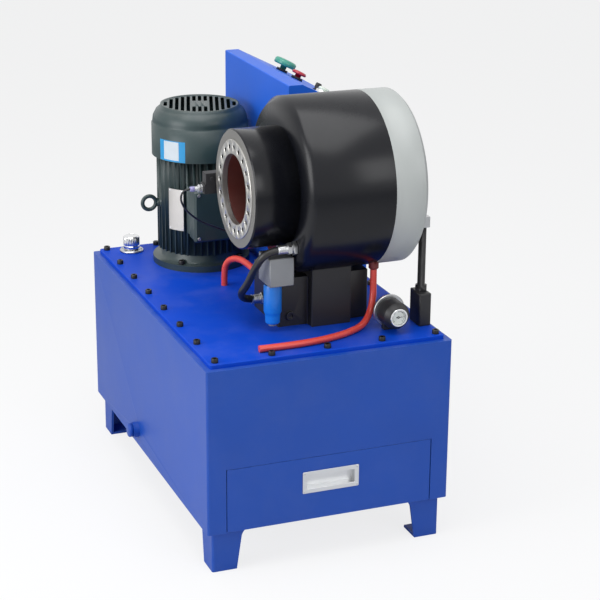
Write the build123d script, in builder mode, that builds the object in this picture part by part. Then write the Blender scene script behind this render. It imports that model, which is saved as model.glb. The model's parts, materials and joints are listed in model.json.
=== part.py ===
"""Hose crimping machine: a sheet-steel oil tank carrying a motor, a crimping head and a control cabinet.

Millimetres, +Z up, origin on the floor under the middle of the machine. The head's axis runs along X:
the hose enters at the rear collar (-X) and the dies close at the operator's side (+X).
The drawer opens towards -Y.
"""

import os
from math import cos, hypot, pi, radians, sin, tan

from build123d import *

# ---- tank and legs ----
tank_width = 600.0        # along X
tank_depth = 940.0        # along Y
body_height = 398.0
leg_height = 102.0
sheet = 4.0
tank_corner_radius = 6.0
rim_width = 44.0          # inward flange that carries the top plate
pull_proud = 2.0          # how far the drawer pull's rim stands in front of the tank
leg_inset = 15.0
leg_foot = 60.0           # width of each flange at the floor
leg_top = 88.0            # width of each flange under the tank
leg_plate = 6.0
drain_radius = 20.0
drain_reach = 26.0
drain_y = 84.0
drain_height = 42.0       # above the tank floor

# ---- top plate and its screws ----
plate_thickness = 10.0
plate_inset = 14.0
screw_inset = 30.0        # from the tank's outside face
screw_radius = 5.0        # M10
screw_head_radius = 8.0
screw_head_height = 10.0
screw_clearance = 0.5
thread_clearance = 0.1
screws_across = 5
screws_along = 8

# ---- drawer ----
drawer_width = 506.0
drawer_height = 155.0
drawer_length = 430.0
drawer_gap = 2.0
drawer_sheet = 2.0
drawer_front_thickness = 8.0
drawer_travel = 350.0
rail_width = 8.0
rail_height = 28.0
rail_gap = 0.3
pull_width = 140.0
pull_height = 54.0
pull_depth = 18.0
pull_rim = 9.0
pull_wall = 1.5
pull_height_in_front = 95.0

# ---- crimping head ----
head_y = -220.0
head_z = 838.0
head_rear_x = -143.0      # end face of the rear collar
collar_length = 107.0
collar_radius = 138.5
collar_spigot_radius = 112.0
throat_radius = 82.0      # the way through for the hose
barrel_length = 206.0
barrel_radius = 205.0
barrel_bore = 168.0
barrel_wall = 24.0        # rear wall of the barrel
barrel_chamfer = 16.0
ring_radius = 114.5
ring_thickness = 12.0
ring_proud = 3.0
ring_screw_circle = 98.5
ring_screw_count = 20
ring_screw_radius = 3.0
ring_screw_head = 5.0
flange_length = 81.0
flange_opening = 118.0
flange_edge = 8.0

# ---- cone piston and die shoes ----
shoe_count = 8
piston_length = 105.0
piston_travel = 55.0
running_clearance = 0.05
cone_slope = 20.0 / 55.0  # radial travel over axial travel
cone_start = 95.0         # apothem of the eight-sided cone at its small end
cone_lead = 28.0          # plain length behind the cone
piston_hole = 90.0
slide_gap = 0.3
relief_gap = 0.6          # from the corners of the cone's small end to the wider bore behind it
shoe_rear = 18.0          # from the cone's small end to the shoe's rear face
shoe_inner = 62.0
shoe_nose = 110.0         # radius of the part that stands in the flange opening
shoe_nose_gap = 12.0      # from the shoe's nose to the flange's outer face
shoe_side_gap = 8.4       # from each shoe's side to the plane between two shoes
die_inner = 44.0
die_length = 84.0
die_side_gap = 9.5
front_seat_gap = 0.3

# ---- pedestal and hydraulics ----
pedestal_front_y = -301.0
pedestal_depth = 190.0
pedestal_left_x = -58.0
pedestal_right_x = 168.0
pedestal_boss_left_x = 16.0
pedestal_boss_right_x = 115.0
pedestal_step = 26.0      # how far the wings stand back from the boss
saddle_rise = 62.0        # how far the saddle climbs round the barrel
plug_radius = 11.0
plug_proud = 6.0
port_y_offset = -110.0    # pressure port on the barrel's rear face, from the head's axis
port_z_offset = -120.0
port_length = 22.0
inlet_y = -215.0          # where the pressure hose enters the pedestal's left face
inlet_height = 55.0       # above the top plate
nut_size = 26.0
hose_radius = 9.0
valve_size = (60.0, 74.0, 68.0)
valve_side_gap = 3.0      # between the valve body and the barrel's rear face
valve_y = -292.0
valve_height = 118.0      # of the valve's underside above the top plate
coil_radius = 21.0
coil_length = 98.0
block_size = (30.0, 56.0, 80.0)
block_x = 268.0
block_y = -358.0
pipe_radius = 9.0
pipe_height = 262.0       # of the pipe's elbow above the top plate
gauge_x = 184.0
gauge_y = -362.0
gauge_height = 43.0
gauge_flange_radius = 39.0
gauge_body_radius = 32.0
gauge_nose_radius = 23.0
gauge_length = 60.0
dial_radius = 15.5

# ---- motor and pump ----
motor_x = -58.0
motor_y = 290.0
motor_flange_radius = 125.0
motor_flange_thickness = 16.0
motor_frame_radius = 97.0
motor_fin_radius = 112.0
motor_fin_count = 40
motor_fin_thickness = 3.2
motor_frame_base = 36.0   # bottom of the finned frame above the top plate
motor_frame_height = 253.0
cowl_radius = 123.5
cowl_wall = 2.0
cowl_overlap = 4.0
cowl_gap = 0.3            # between the cowl and the end shield that carries it
shield_thickness = 10.0
cowl_skirt = 80.0
cowl_height = 128.0
grille_radius = 97.0
grille_slot = 9.0
grille_pitch = 14.5
grille_turn = -18.0       # degrees, from slots along Y
hub_size = 54.0
shaft_radius = 14.0
fan_radius = 92.0
fan_blades = 7
box_width = 106.0
box_height = 130.0
box_front_y = 120.0
box_left_x = -128.0
box_base = 98.0           # terminal box above the top plate
lid_thickness = 12.0
eye_height = 163.0
eye_radius = 17.5
eye_wire = 5.0
pump_radius = 58.0
pump_length = 120.0
strainer_radius = 36.0
strainer_length = 88.0

# ---- breather and level gauge ----
breather_x = -211.0
breather_y = 412.0
breather_flange_radius = 31.0
breather_cap_radius = 22.0
breather_cap_height = 42.0
level_length = 150.0
level_width = 30.0

# ---- sensor ----
sensor_y = -70.0
sensor_z = 804.0
sensor_radius = 6.0
sensor_length = 46.0
sensor_cable_radius = 2.5
clamp_length = 46.0

# ---- control cabinet ----
cabinet_left_x = 72.0
cabinet_front_y = 0.0
cabinet_width = 213.0
cabinet_depth = 465.0
cabinet_top = 507.0       # above the top plate
cabinet_plinth = 20.0
cabinet_ledge = 36.0      # flat strip behind the sloping panel
cabinet_slope = 27.0      # degrees
cabinet_sheet = 2.0
cover_inset = 14.0
cover_thickness = 3.0
button_x = 168.0
start_button_y = 301.0
stop_button_y = 196.0
lamp_y = 24.0
start_button_radius = 29.0
stop_button_radius = 19.0
lamp_radius = 14.0
button_travel = 6.0
collar_height = 6.0

# ---- red drain hoses ----
drain_hose_radius = 8.0
boot_x = 168.0
boot_y = -308.0
boot_radius = 12.0

# ---- derived places ----
left_x, right_x = -tank_width / 2, tank_width / 2
front_y = -tank_depth / 2 + pull_proud / 2
back_y = front_y + tank_depth
mid_y = (front_y + back_y) / 2
floor_z = leg_height
rim_z = leg_height + body_height
plate_z = rim_z + plate_thickness
barrel_x = head_rear_x + collar_length
flange_x = barrel_x + barrel_length
head_front_x = flange_x + flange_length
piston_x = barrel_x + barrel_wall + 2.0
head_plane = Plane(origin=(0, head_y, head_z), x_dir=(1, 0, 0), z_dir=(0, -1, 0))
head_axis = Axis((0, head_y, head_z), (1, 0, 0))
motor_axis = Axis((motor_x, motor_y, 0), (0, 0, 1))
motor_plane = Plane(origin=(motor_x, motor_y, plate_z), x_dir=(1, 0, 0), z_dir=(0, -1, 0))

os.makedirs("parts", exist_ok=True)
nodes = []


def save(builder, name):
    """Label one finished piece and write its STEP file."""
    builder.part.label = name
    export_step(builder.part, f"parts/{name}.step")
    nodes.append(name)


def save_group(builders, name):
    """Write pieces that stay together as separate solids of one node."""
    group = Compound(children=[solid for builder in builders for solid in builder.part.solids()])
    group.label = name
    export_step(group, f"parts/{name}.step")
    nodes.append(name)


def block(x0, x1, y0, y1, z0, z1, mode=Mode.ADD):
    """Add a box given by its low and high corners."""
    with Locations(((x0 + x1) / 2, (y0 + y1) / 2, (z0 + z1) / 2)):
        Box(x1 - x0, y1 - y0, z1 - z0, mode=mode)


def rod(start, direction, radius, length, mode=Mode.ADD):
    """Add a round bar from a start point along a direction."""
    with Locations(Plane(origin=start, z_dir=direction)):
        Cylinder(radius, length, align=(Align.CENTER, Align.CENTER, Align.MIN), mode=mode)


def turned(plane, axis, points, mode=Mode.ADD):
    """Revolve a closed outline, given as (along, radius) points in the plane, about the axis."""
    with BuildSketch(plane) as outline:
        with BuildLine():
            Polyline(*points, close=True)
        make_face()
    revolve(outline.sketch, axis=axis, mode=mode)


def hexagon(start, direction, across_flats, length):
    """Add a hexagon bar, as on nuts and fittings."""
    plane = Plane(origin=start, z_dir=direction)
    with BuildSketch(plane) as outline:
        RegularPolygon(across_flats / 2, 6, major_radius=False)
    extrude(outline.sketch, amount=length)


def tube(points, radius, label):
    """Sweep a round section along straight runs joined by the largest tangent arcs that fit."""
    radii = []
    for before, corner, after in zip(points, points[1:], points[2:]):
        run_in = Vector(*corner) - Vector(*before)
        run_out = Vector(*after) - Vector(*corner)
        turn = radians(run_in.get_angle(run_out))
        radii.append(0.45 * min(run_in.length, run_out.length) / tan(turn / 2))
    with BuildPart() as piece:
        with BuildLine() as path:
            FilletPolyline(*points, radius=radii)
        with BuildSketch(Plane(origin=path.line @ 0, z_dir=path.line % 0)):
            Circle(radius)
        sweep()
    length = path.wires()[0].length
    expected = pi * radius ** 2 * length
    print(f"{label}: length {length:.0f} mm, smallest radius {min(radii):.0f} mm, "
          f"volume ratio {piece.part.volume / expected:.4f}")
    return piece


def rectangle_places(across, along, count_across, count_along, z):
    """Places on the border of a rectangle centred on the tank."""
    places = []
    for i in range(count_across):
        x = -across / 2 + across * i / (count_across - 1)
        places += [(x, mid_y - along / 2, z), (x, mid_y + along / 2, z)]
    for j in range(1, count_along - 1):
        y = mid_y - along / 2 + along * j / (count_along - 1)
        places += [(-across / 2, y, z), (across / 2, y, z)]
    return places


screw_places = rectangle_places(tank_width - 2 * screw_inset, tank_depth - 2 * screw_inset,
                                screws_across, screws_along, plate_z)

# ---- tank body ----
bay_half = drawer_width / 2 + drawer_gap
bay_top = floor_z + drawer_height + drawer_gap
bay_back = front_y + drawer_length + 16.0
chamber_half = drawer_width / 2 - drawer_sheet + rail_gap

with BuildPart() as tank_body:
    block(left_x, right_x, front_y, back_y, floor_z, rim_z)
    fillet(tank_body.edges().filter_by(Axis.Z), tank_corner_radius)
    block(left_x + sheet, right_x - sheet, front_y + sheet, back_y - sheet,
          floor_z + sheet, rim_z - sheet, mode=Mode.SUBTRACT)
    block(left_x + rim_width, right_x - rim_width, front_y + rim_width, back_y - rim_width,
          rim_z - sheet, rim_z, mode=Mode.SUBTRACT)
    block(-bay_half - sheet, bay_half + sheet, front_y + sheet / 2, bay_back + sheet,
          floor_z + sheet / 2, bay_top + sheet)
    block(-bay_half, bay_half, front_y, bay_back, floor_z + sheet, bay_top, mode=Mode.SUBTRACT)
    block(-bay_half, bay_half, front_y, front_y + drawer_front_thickness + 1, floor_z, bay_top,
          mode=Mode.SUBTRACT)
    rod((left_x, drain_y, floor_z + drain_height), (-1, 0, 0), drain_radius, drain_reach * 0.55)
    rod((left_x + sheet + 1, drain_y, floor_z + drain_height), (-1, 0, 0), drain_radius * 0.5,
        drain_reach, mode=Mode.SUBTRACT)
    for x, y, z in screw_places:
        rod((x, y, rim_z + 1), (0, 0, -1), screw_radius + thread_clearance, sheet + 2, mode=Mode.SUBTRACT)
save(tank_body, "tank_body")

with BuildPart() as drain_plug:
    boss_end = left_x - drain_reach * 0.55
    rod((boss_end, drain_y, floor_z + drain_height), (-1, 0, 0), drain_radius * 0.86, drain_reach * 0.45)
    chamfer(drain_plug.faces().sort_by(Axis.X)[0].edges(), 2.0)
    hexagon((left_x - drain_reach, drain_y, floor_z + drain_height), (1, 0, 0), 12.0, 0.5)
    rod((boss_end, drain_y, floor_z + drain_height), (1, 0, 0), drain_radius * 0.5 - 0.1, drain_reach * 0.5)
save(drain_plug, "drain_plug")


def leg(x_side, y_side):
    """One pressed corner leg: two tapering flanges that meet in a rounded corner."""
    corner_x = x_side * (tank_width / 2 - leg_inset)
    corner_y = mid_y + y_side * (tank_depth / 2 - leg_inset)
    height = leg_height
    with BuildPart() as piece:
        for plane, side in ((Plane(origin=(corner_x, corner_y, 0), x_dir=(1, 0, 0), z_dir=(0, -1, 0)), x_side),
                            (Plane(origin=(corner_x, corner_y, 0), x_dir=(0, 1, 0), z_dir=(1, 0, 0)), y_side)):
            with BuildSketch(plane) as flange:
                with BuildLine():
                    Polyline((0, 0), (-side * leg_foot, 0), (-side * (leg_top - 16), height - 20))
                    TangentArc((-side * (leg_top - 16), height - 20), (-side * (leg_top + 6), height),
                               tangent=(-side * 0.2, 1))
                    Polyline((-side * (leg_top + 6), height), (0, height), (0, 0))
                make_face()
            inward = -y_side if side is x_side and plane.z_dir.Y else -x_side
            along = plane.z_dir.Y if plane.z_dir.Y else plane.z_dir.X
            extrude(flange.sketch, amount=leg_plate * inward * along)
        outer = piece.edges().filter_by(Axis.Z).sort_by(lambda e: -abs(e.center().X) - abs(e.center().Y))[0]
        fillet(outer, leg_plate * 0.9)
        block(min(corner_x, corner_x - x_side * leg_foot), max(corner_x, corner_x - x_side * leg_foot),
              min(corner_y, corner_y - y_side * leg_foot), max(corner_y, corner_y - y_side * leg_foot),
              0, leg_plate)
        foot_edge = piece.edges().filter_by(Axis.Z).sort_by(lambda e: -abs(e.center().X) - abs(e.center().Y))[0]
        fillet(foot_edge, leg_plate * 0.85)
    return piece


for x_side, x_word in ((-1, "left"), (1, "right")):
    for y_side, y_word in ((-1, "front"), (1, "back")):
        save(leg(x_side, y_side), f"leg_{y_word}_{x_word}")

# ---- top plate ----
with BuildPart() as top_plate:
    block(left_x + plate_inset, right_x - plate_inset, front_y + plate_inset, back_y - plate_inset,
          rim_z, plate_z)
    fillet(top_plate.edges().filter_by(Axis.Z), tank_corner_radius)
    chamfer(top_plate.faces().sort_by(Axis.Z)[-1].edges(), 1.0)
    for x, y, z in screw_places:
        rod((x, y, rim_z - 1), (0, 0, 1), screw_radius + screw_clearance, plate_thickness + 2,
            mode=Mode.SUBTRACT)
    rod((motor_x, motor_y, rim_z - 1), (0, 0, 1), pump_radius + 2, plate_thickness + 2, mode=Mode.SUBTRACT)
    rod((breather_x, breather_y, rim_z - 1), (0, 0, 1), breather_cap_radius * 0.7, plate_thickness + 2,
        mode=Mode.SUBTRACT)
save(top_plate, "top_plate")

motor_screw_circle = motor_flange_radius - 13.0
motor_screw_places = [(motor_x + motor_screw_circle * cos(a), motor_y + motor_screw_circle * sin(a),
                       plate_z + motor_flange_thickness) for a in [radians(45 + 90 * i) for i in range(4)]]

with BuildPart() as cap_screws:
    for x, y, z in screw_places + motor_screw_places:
        rod((x, y, z), (0, 0, 1), screw_head_radius, screw_head_height)
        with BuildSketch(Plane.XY.offset(z + screw_head_height)) as socket:
            with Locations((x, y)):
                RegularPolygon(screw_head_radius / 2, 6)
        extrude(socket.sketch, amount=-screw_head_height * 0.6, mode=Mode.SUBTRACT)
        grip = plate_thickness + sheet if z == plate_z else motor_flange_thickness
        rod((x, y, z), (0, 0, -1), screw_radius, grip)
save(cap_screws, "cap_screws")

# ---- drawer ----
tray_half = chamber_half - rail_width
tray_bottom = floor_z + sheet + 3.0
tray_top = floor_z + drawer_height - 12.0
tray_front = front_y + drawer_front_thickness
tray_back = front_y + drawer_length
rail_z = tray_bottom + 46.0
pull_z = floor_z + pull_height_in_front
pull_hole_x = pull_width / 2 - pull_rim
pull_hole_z = pull_height / 2 - pull_rim

with BuildPart() as drawer_tray:
    block(-tray_half, tray_half, tray_front, tray_back, tray_bottom, tray_top)
    block(-tray_half + drawer_sheet, tray_half - drawer_sheet, tray_front + drawer_sheet,
          tray_back - drawer_sheet, tray_bottom + drawer_sheet, tray_top + 1, mode=Mode.SUBTRACT)
    block(-pull_hole_x, pull_hole_x, tray_front - 1, tray_front + drawer_sheet + 1,
          pull_z - pull_hole_z, pull_z + pull_hole_z, mode=Mode.SUBTRACT)
save(drawer_tray, "drawer_tray")

with BuildPart() as drawer_rails:
    for side in (-1, 1):
        inner, outer = side * (tray_half + rail_gap), side * bay_half
        block(min(inner, outer), max(inner, outer), tray_front + 4, tray_back, rail_z, rail_z + rail_height)
        groove = side * (tray_half + rail_gap + rail_width * 0.5)
        block(min(inner, groove), max(inner, groove), tray_front, tray_back + 1,
              rail_z + rail_height * 0.3, rail_z + rail_height * 0.7, mode=Mode.SUBTRACT)
save(drawer_rails, "drawer_rails")

with BuildPart() as drawer_front:
    block(-drawer_width / 2, drawer_width / 2, front_y, tray_front, floor_z + 1, floor_z + 1 + drawer_height)
    block(-pull_hole_x, pull_hole_x, front_y - 1, tray_front + 1,
          pull_z - pull_hole_z, pull_z + pull_hole_z, mode=Mode.SUBTRACT)
save(drawer_front, "drawer_front")

pull_in_x = pull_hole_x - 0.5
pull_in_z = pull_hole_z - 0.5
pull_floor = front_y + pull_depth
with BuildPart() as drawer_pull:
    block(-pull_width / 2, pull_width / 2, front_y - pull_proud, front_y,
          pull_z - pull_height / 2, pull_z + pull_height / 2)
    fillet(drawer_pull.edges().filter_by(Axis.Y), 3.0)
    block(-pull_in_x, pull_in_x, front_y, pull_floor, pull_z - pull_in_z, pull_z + pull_in_z)
    block(-pull_in_x + pull_wall, pull_in_x - pull_wall, front_y - pull_proud - 1,
          pull_floor - pull_wall,
          pull_z - pull_in_z + pull_wall, pull_z + pull_in_z - pull_wall, mode=Mode.SUBTRACT)
save(drawer_pull, "drawer_pull")

# ---- oil level gauge on the operator's side ----
level_y, level_z = mid_y + 150.0, floor_z + body_height * 0.55
level_x = right_x + drain_reach
with BuildPart() as level_gauge:
    block(right_x, level_x, level_y - level_width / 2, level_y + level_width / 2,
          level_z - level_length / 2, level_z + level_length / 2)
    fillet(level_gauge.edges().filter_by(Axis.X), level_width * 0.45)
    chamfer(level_gauge.faces().sort_by(Axis.X)[-1].edges(), 3.0)
    block(level_x - 4, level_x + 1, level_y - level_width * 0.22, level_y + level_width * 0.22,
          level_z - level_length * 0.3, level_z + level_length * 0.3, mode=Mode.SUBTRACT)
save(level_gauge, "level_gauge")

# ---- breather ----
breather_axis = Axis((breather_x, breather_y, 0), (0, 0, 1))
breather_plane = Plane(origin=(breather_x, breather_y, plate_z), x_dir=(1, 0, 0), z_dir=(0, -1, 0))


def upright(plane, axis, points, mode=Mode.ADD):
    """Revolve a closed outline, given as (radius, height) points in the plane, about the upright axis."""
    with BuildSketch(plane) as outline:
        with BuildLine():
            Polyline(*points, close=True)
        make_face()
    revolve(outline.sketch, axis=axis, mode=mode)


with BuildPart() as breather_flange:
    r = breather_flange_radius
    neck = breather_cap_radius * 0.66
    upright(breather_plane, breather_axis, [(neck - 3, -plate_thickness), (neck, -plate_thickness), (neck, 0),
            (r, 0), (r, 4), (r - 2, 6), (neck + 5, 7), (neck + 5, 12), (neck - 3, 12)])
save(breather_flange, "breather_flange")

with BuildPart() as breather_cap:
    r, h = breather_cap_radius, breather_cap_height
    inner = neck + 5.0 + running_clearance
    upright(breather_plane, breather_axis, [(0, 12.3), (inner, 12.3), (inner, 8), (r - 1, 8), (r, 9),
            (r, 16), (r - 1.5, 18), (r - 1.5, h - 4), (r - 4, h), (0, h + 1)])
save(breather_cap, "breather_cap")

# ---- crimping head: barrel, rear collar, retaining ring and front flange ----
b = barrel_x
with BuildPart() as head_barrel:
    turned(head_plane, head_axis, [
        (b, collar_spigot_radius), (b, barrel_radius - barrel_chamfer), (b + barrel_chamfer, barrel_radius),
        (flange_x, barrel_radius), (flange_x, barrel_bore), (b + barrel_wall, barrel_bore),
        (b + barrel_wall, collar_spigot_radius)])
save(head_barrel, "head_barrel")

h = head_rear_x
with BuildPart() as rear_collar:
    turned(head_plane, head_axis, [
        (h + ring_thickness - ring_proud, throat_radius), (h + ring_thickness - ring_proud, ring_radius),
        (h, ring_radius), (h, collar_radius - 3), (h + 3, collar_radius), (b, collar_radius),
        (b, collar_spigot_radius), (b + barrel_wall, collar_spigot_radius), (b + barrel_wall, throat_radius + 6),
        (b - 20, throat_radius + 6), (b - 20, throat_radius)])
save(rear_collar, "rear_collar")

ring_back = h + ring_thickness - ring_proud
ring_face = h - ring_proud
ring_screw_places = [(ring_face, head_y + ring_screw_circle * cos(2 * pi * i / ring_screw_count),
                      head_z + ring_screw_circle * sin(2 * pi * i / ring_screw_count))
                     for i in range(ring_screw_count)]
with BuildPart() as retaining_ring:
    turned(head_plane, head_axis, [(ring_face, throat_radius), (ring_face, ring_radius - 1),
                                   (ring_face + 1, ring_radius), (ring_back, ring_radius),
                                   (ring_back, throat_radius)])
    for place in ring_screw_places:
        rod(place, (1, 0, 0), ring_screw_head + 0.3, ring_screw_radius * 2, mode=Mode.SUBTRACT)
        rod(place, (1, 0, 0), ring_screw_radius, ring_thickness + 1, mode=Mode.SUBTRACT)
save(retaining_ring, "retaining_ring")

with BuildPart() as ring_screws:
    for x, y, z in ring_screw_places:
        rod((x + 1.5, y, z), (1, 0, 0), ring_screw_head, ring_screw_radius * 2 - 1.5)
        rod((x + ring_screw_radius * 2, y, z), (1, 0, 0), ring_screw_radius,
            ring_thickness - ring_screw_radius * 2)
save(ring_screws, "ring_screws")

f = flange_x
with BuildPart() as front_flange:
    turned(head_plane, head_axis, [
        (f, flange_opening), (f, barrel_radius), (head_front_x - flange_edge, barrel_radius),
        (head_front_x, barrel_radius - flange_edge), (head_front_x, flange_opening + 4),
        (head_front_x - 4, flange_opening)])
    turned(head_plane, head_axis, [
        (f - 10, barrel_bore - running_clearance), (f, barrel_bore - running_clearance), (f, barrel_bore - 8),
        (f - 10, barrel_bore - 8)])
save(front_flange, "front_flange")

# ---- cone piston: a plain ring outside, an eight-sided cone inside ----
cone_x = piston_x + cone_lead
cone_end = piston_x + piston_length


def cone_apothem(x):
    """Distance from the head's axis to a flat of the cone, at a place along X."""
    return cone_start + (x - cone_x) * cone_slope


with BuildPart() as cone_piston:
    turned(head_plane, head_axis, [
        (piston_x, piston_hole), (piston_x, barrel_bore - 6), (piston_x + 4, barrel_bore - running_clearance),
        (cone_end, barrel_bore - running_clearance), (cone_end, piston_hole)])
    small = Plane(origin=(cone_x, head_y, head_z), x_dir=(0, 1, 0), z_dir=(1, 0, 0))
    large = Plane(origin=(cone_end, head_y, head_z), x_dir=(0, 1, 0), z_dir=(1, 0, 0))
    with BuildSketch(small) as small_end:
        RegularPolygon(cone_apothem(cone_x), shoe_count, major_radius=False, rotation=180 / shoe_count)
    with BuildSketch(large) as large_end:
        RegularPolygon(cone_apothem(cone_end), shoe_count, major_radius=False, rotation=180 / shoe_count)
    loft([small_end.sketch.face(), large_end.sketch.face()], mode=Mode.SUBTRACT)
    relief_radius = cone_start / cos(pi / shoe_count) + relief_gap
    rod((piston_x - 1, head_y, head_z), (1, 0, 0), relief_radius, cone_lead + 1, mode=Mode.SUBTRACT)
save(cone_piston, "cone_piston")


def die_shoe(number):
    """One die shoe and its die, on the ray at its own angle; the flat back slides on the cone."""
    angle = 360 / shoe_count * number
    plane = Plane(origin=(0, head_y, head_z), x_dir=(1, 0, 0),
                  z_dir=(0, -sin(radians(angle)), cos(radians(angle))))
    rear = cone_x + shoe_rear
    seat = flange_x - front_seat_gap
    nose = head_front_x - shoe_nose_gap
    gap = slide_gap * hypot(1, cone_slope)
    die_rear = nose - die_length
    with BuildPart() as piece:
        with BuildSketch(plane) as outline:
            with BuildLine():
                Polyline((rear, shoe_inner), (nose - 2, shoe_inner), (nose, shoe_inner + 2),
                         (nose, shoe_nose), (seat, shoe_nose), (seat, cone_apothem(seat) - gap),
                         (rear, cone_apothem(rear) - gap), close=True)
            make_face()
        extrude(outline.sketch, amount=80, both=True)
        for side in (-1, 1):
            tilt = radians(angle + side * 180 / shoe_count)
            normal = Vector(0, -sin(tilt), cos(tilt)) * -side
            foot = Vector(0, head_y, head_z) + normal * shoe_side_gap
            split(bisect_by=Plane(origin=foot, z_dir=normal), keep=Keep.TOP)
    with BuildPart() as die:
        with BuildSketch(plane) as outline:
            with BuildLine():
                Polyline((die_rear, die_inner + 3), (die_rear + 3, die_inner), (nose - 3, die_inner),
                         (nose, die_inner + 3), (nose, shoe_inner), (die_rear, shoe_inner), close=True)
            make_face()
        extrude(outline.sketch, amount=40, both=True)
        for side in (-1, 1):
            tilt = radians(angle + side * 180 / shoe_count)
            normal = Vector(0, -sin(tilt), cos(tilt)) * -side
            foot = Vector(0, head_y, head_z) + normal * die_side_gap
            split(bisect_by=Plane(origin=foot, z_dir=normal), keep=Keep.TOP)
    save_group([piece, die], f"die_shoe_{number + 1}")


for number in range(shoe_count):
    die_shoe(number)

# ---- pedestal: a black block with a saddle for the barrel and two lower wings ----
saddle_z = head_z - barrel_radius + saddle_rise
valve_z = plate_z + valve_height
valve_w, valve_d, valve_h = valve_size
valve_x = barrel_x - valve_side_gap - valve_w
coil_x = valve_x + coil_radius
pedestal_back_y = pedestal_front_y + pedestal_depth
port_y, port_z = head_y + port_y_offset, head_z + port_z_offset
with BuildPart() as pedestal:
    block(pedestal_boss_left_x, pedestal_boss_right_x, pedestal_front_y, pedestal_back_y, plate_z, saddle_z)
    block(pedestal_left_x, pedestal_right_x, pedestal_front_y + pedestal_step, pedestal_back_y,
          plate_z, valve_z)
    chamfer(pedestal.edges().filter_by(Axis.Z), 2.0)
    with Locations(Plane(origin=(0, head_y, head_z), z_dir=(1, 0, 0))):
        Cylinder(barrel_radius, 4 * tank_width, mode=Mode.SUBTRACT)
    rod((pedestal_left_x + 30, pedestal_front_y + pedestal_step, plate_z + 26), (0, -1, 0), plug_radius, plug_proud)
    rod((pedestal_left_x + 30, pedestal_front_y + pedestal_step - plug_proud - 1, plate_z + 26), (0, 1, 0),
        plug_radius * 0.5, 5, mode=Mode.SUBTRACT)
save(pedestal, "pedestal")

# ---- valve body, coil and the fittings ----
with BuildPart() as valve_body:
    block(valve_x, valve_x + valve_w, valve_y - valve_d / 2, valve_y + valve_d / 2, valve_z, valve_z + valve_h)
    chamfer(valve_body.edges(), 1.5)
    rod((coil_x, valve_y, valve_z), (0, 0, -1), coil_radius * 0.45, coil_length + 6)
    hexagon((coil_x, valve_y, valve_z), (0, 0, -1), coil_radius * 1.1, 4)
save(valve_body, "valve_body")

with BuildPart() as solenoid_coil:
    coil_plane = Plane(origin=(coil_x, valve_y, valve_z), x_dir=(1, 0, 0), z_dir=(0, -1, 0))
    coil_axis = Axis((coil_x, valve_y, 0), (0, 0, 1))
    c, core = coil_radius, coil_radius * 0.45
    upright(coil_plane, coil_axis, [(core, -4), (c - 1, -4), (c, -6), (c, -coil_length * 0.7),
            (c * 0.86, -coil_length * 0.78), (c * 0.8, -coil_length + 2), (c * 0.8 - 2, -coil_length),
            (core, -coil_length)])
    rod((coil_x, valve_y, valve_z), (0, 0, -1), core, coil_length, mode=Mode.SUBTRACT)
save(solenoid_coil, "solenoid_coil")

inlet_x, inlet_z = pedestal_left_x - port_length, plate_z + inlet_height
pipe_top = plate_z + pipe_height
with BuildPart() as fittings:
    hexagon((barrel_x, port_y, port_z), (-1, 0, 0), nut_size + 4, port_length * 0.45)
    rod((barrel_x - port_length * 0.45, port_y, port_z), (-1, 0, 0), hose_radius + 1.5, port_length * 0.1)
    hexagon((barrel_x - port_length * 0.55, port_y, port_z), (-1, 0, 0), nut_size, port_length * 0.45)
    hexagon((pedestal_left_x, inlet_y, inlet_z), (-1, 0, 0), nut_size + 4, port_length * 0.5)
    hexagon((pedestal_left_x - port_length * 0.5, inlet_y, inlet_z), (-1, 0, 0), nut_size, port_length * 0.5)
    block(head_front_x + 1.5, block_x + pipe_radius + 4, block_y - 13, block_y + 13, pipe_top - 26, pipe_top)
    rod((head_front_x, block_y, pipe_top - 13), (1, 0, 0), 11, 3)
save(fittings, "fittings")

block_w, block_d, block_h = block_size
with BuildPart() as pipe_block:
    block(block_x - block_w / 2, block_x + block_w / 2, block_y - block_d / 2, block_y + block_d / 2,
          plate_z, plate_z + block_h)
    chamfer(pipe_block.edges(), 2.0)
save(pipe_block, "pipe_block")

with BuildPart() as steel_pipe:
    rod((block_x, block_y, plate_z + block_h), (0, 0, 1), pipe_radius, pipe_top - 26 - plate_z - block_h)
    hexagon((block_x, block_y, plate_z + block_h), (0, 0, 1), nut_size, 14)
save(steel_pipe, "steel_pipe")

hose_points = [
    (barrel_x - port_length, port_y, port_z), (barrel_x - 54, port_y, port_z),
    (barrel_x - 80, port_y + 5, port_z - 14), (barrel_x - 92, port_y + 26, port_z - 50),
    (barrel_x - 97, port_y + 58, port_z - 96), (inlet_x - 60, inlet_y - 24, inlet_z + 24),
    (inlet_x - 34, inlet_y, inlet_z), (inlet_x, inlet_y, inlet_z)]
save(tube(hose_points, hose_radius, "pressure_hose"), "pressure_hose")

# ---- pressure gauge ----
gauge_z = plate_z + gauge_height
gauge_plane = Plane(origin=(gauge_x, gauge_y, gauge_z), x_dir=(0, -1, 0), z_dir=(1, 0, 0))
gauge_axis = Axis((gauge_x, gauge_y, gauge_z), (0, 1, 0))
dial_recess = 5.0
with BuildPart() as gauge_case:
    g0, g1, g2 = gauge_flange_radius, gauge_body_radius, gauge_nose_radius
    turned(gauge_plane, gauge_axis, [
        (0, 0), (0, g0), (4, g0), (6, g0 - 2), (6, g1), (gauge_length - 12, g1), (gauge_length, g2),
        (gauge_length, dial_radius), (gauge_length - dial_recess, dial_radius), (gauge_length - dial_recess, 0)])
    block(gauge_x - 18, gauge_x + 18, gauge_y - 16, gauge_y, plate_z, gauge_z - g1 * 0.8)

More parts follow.
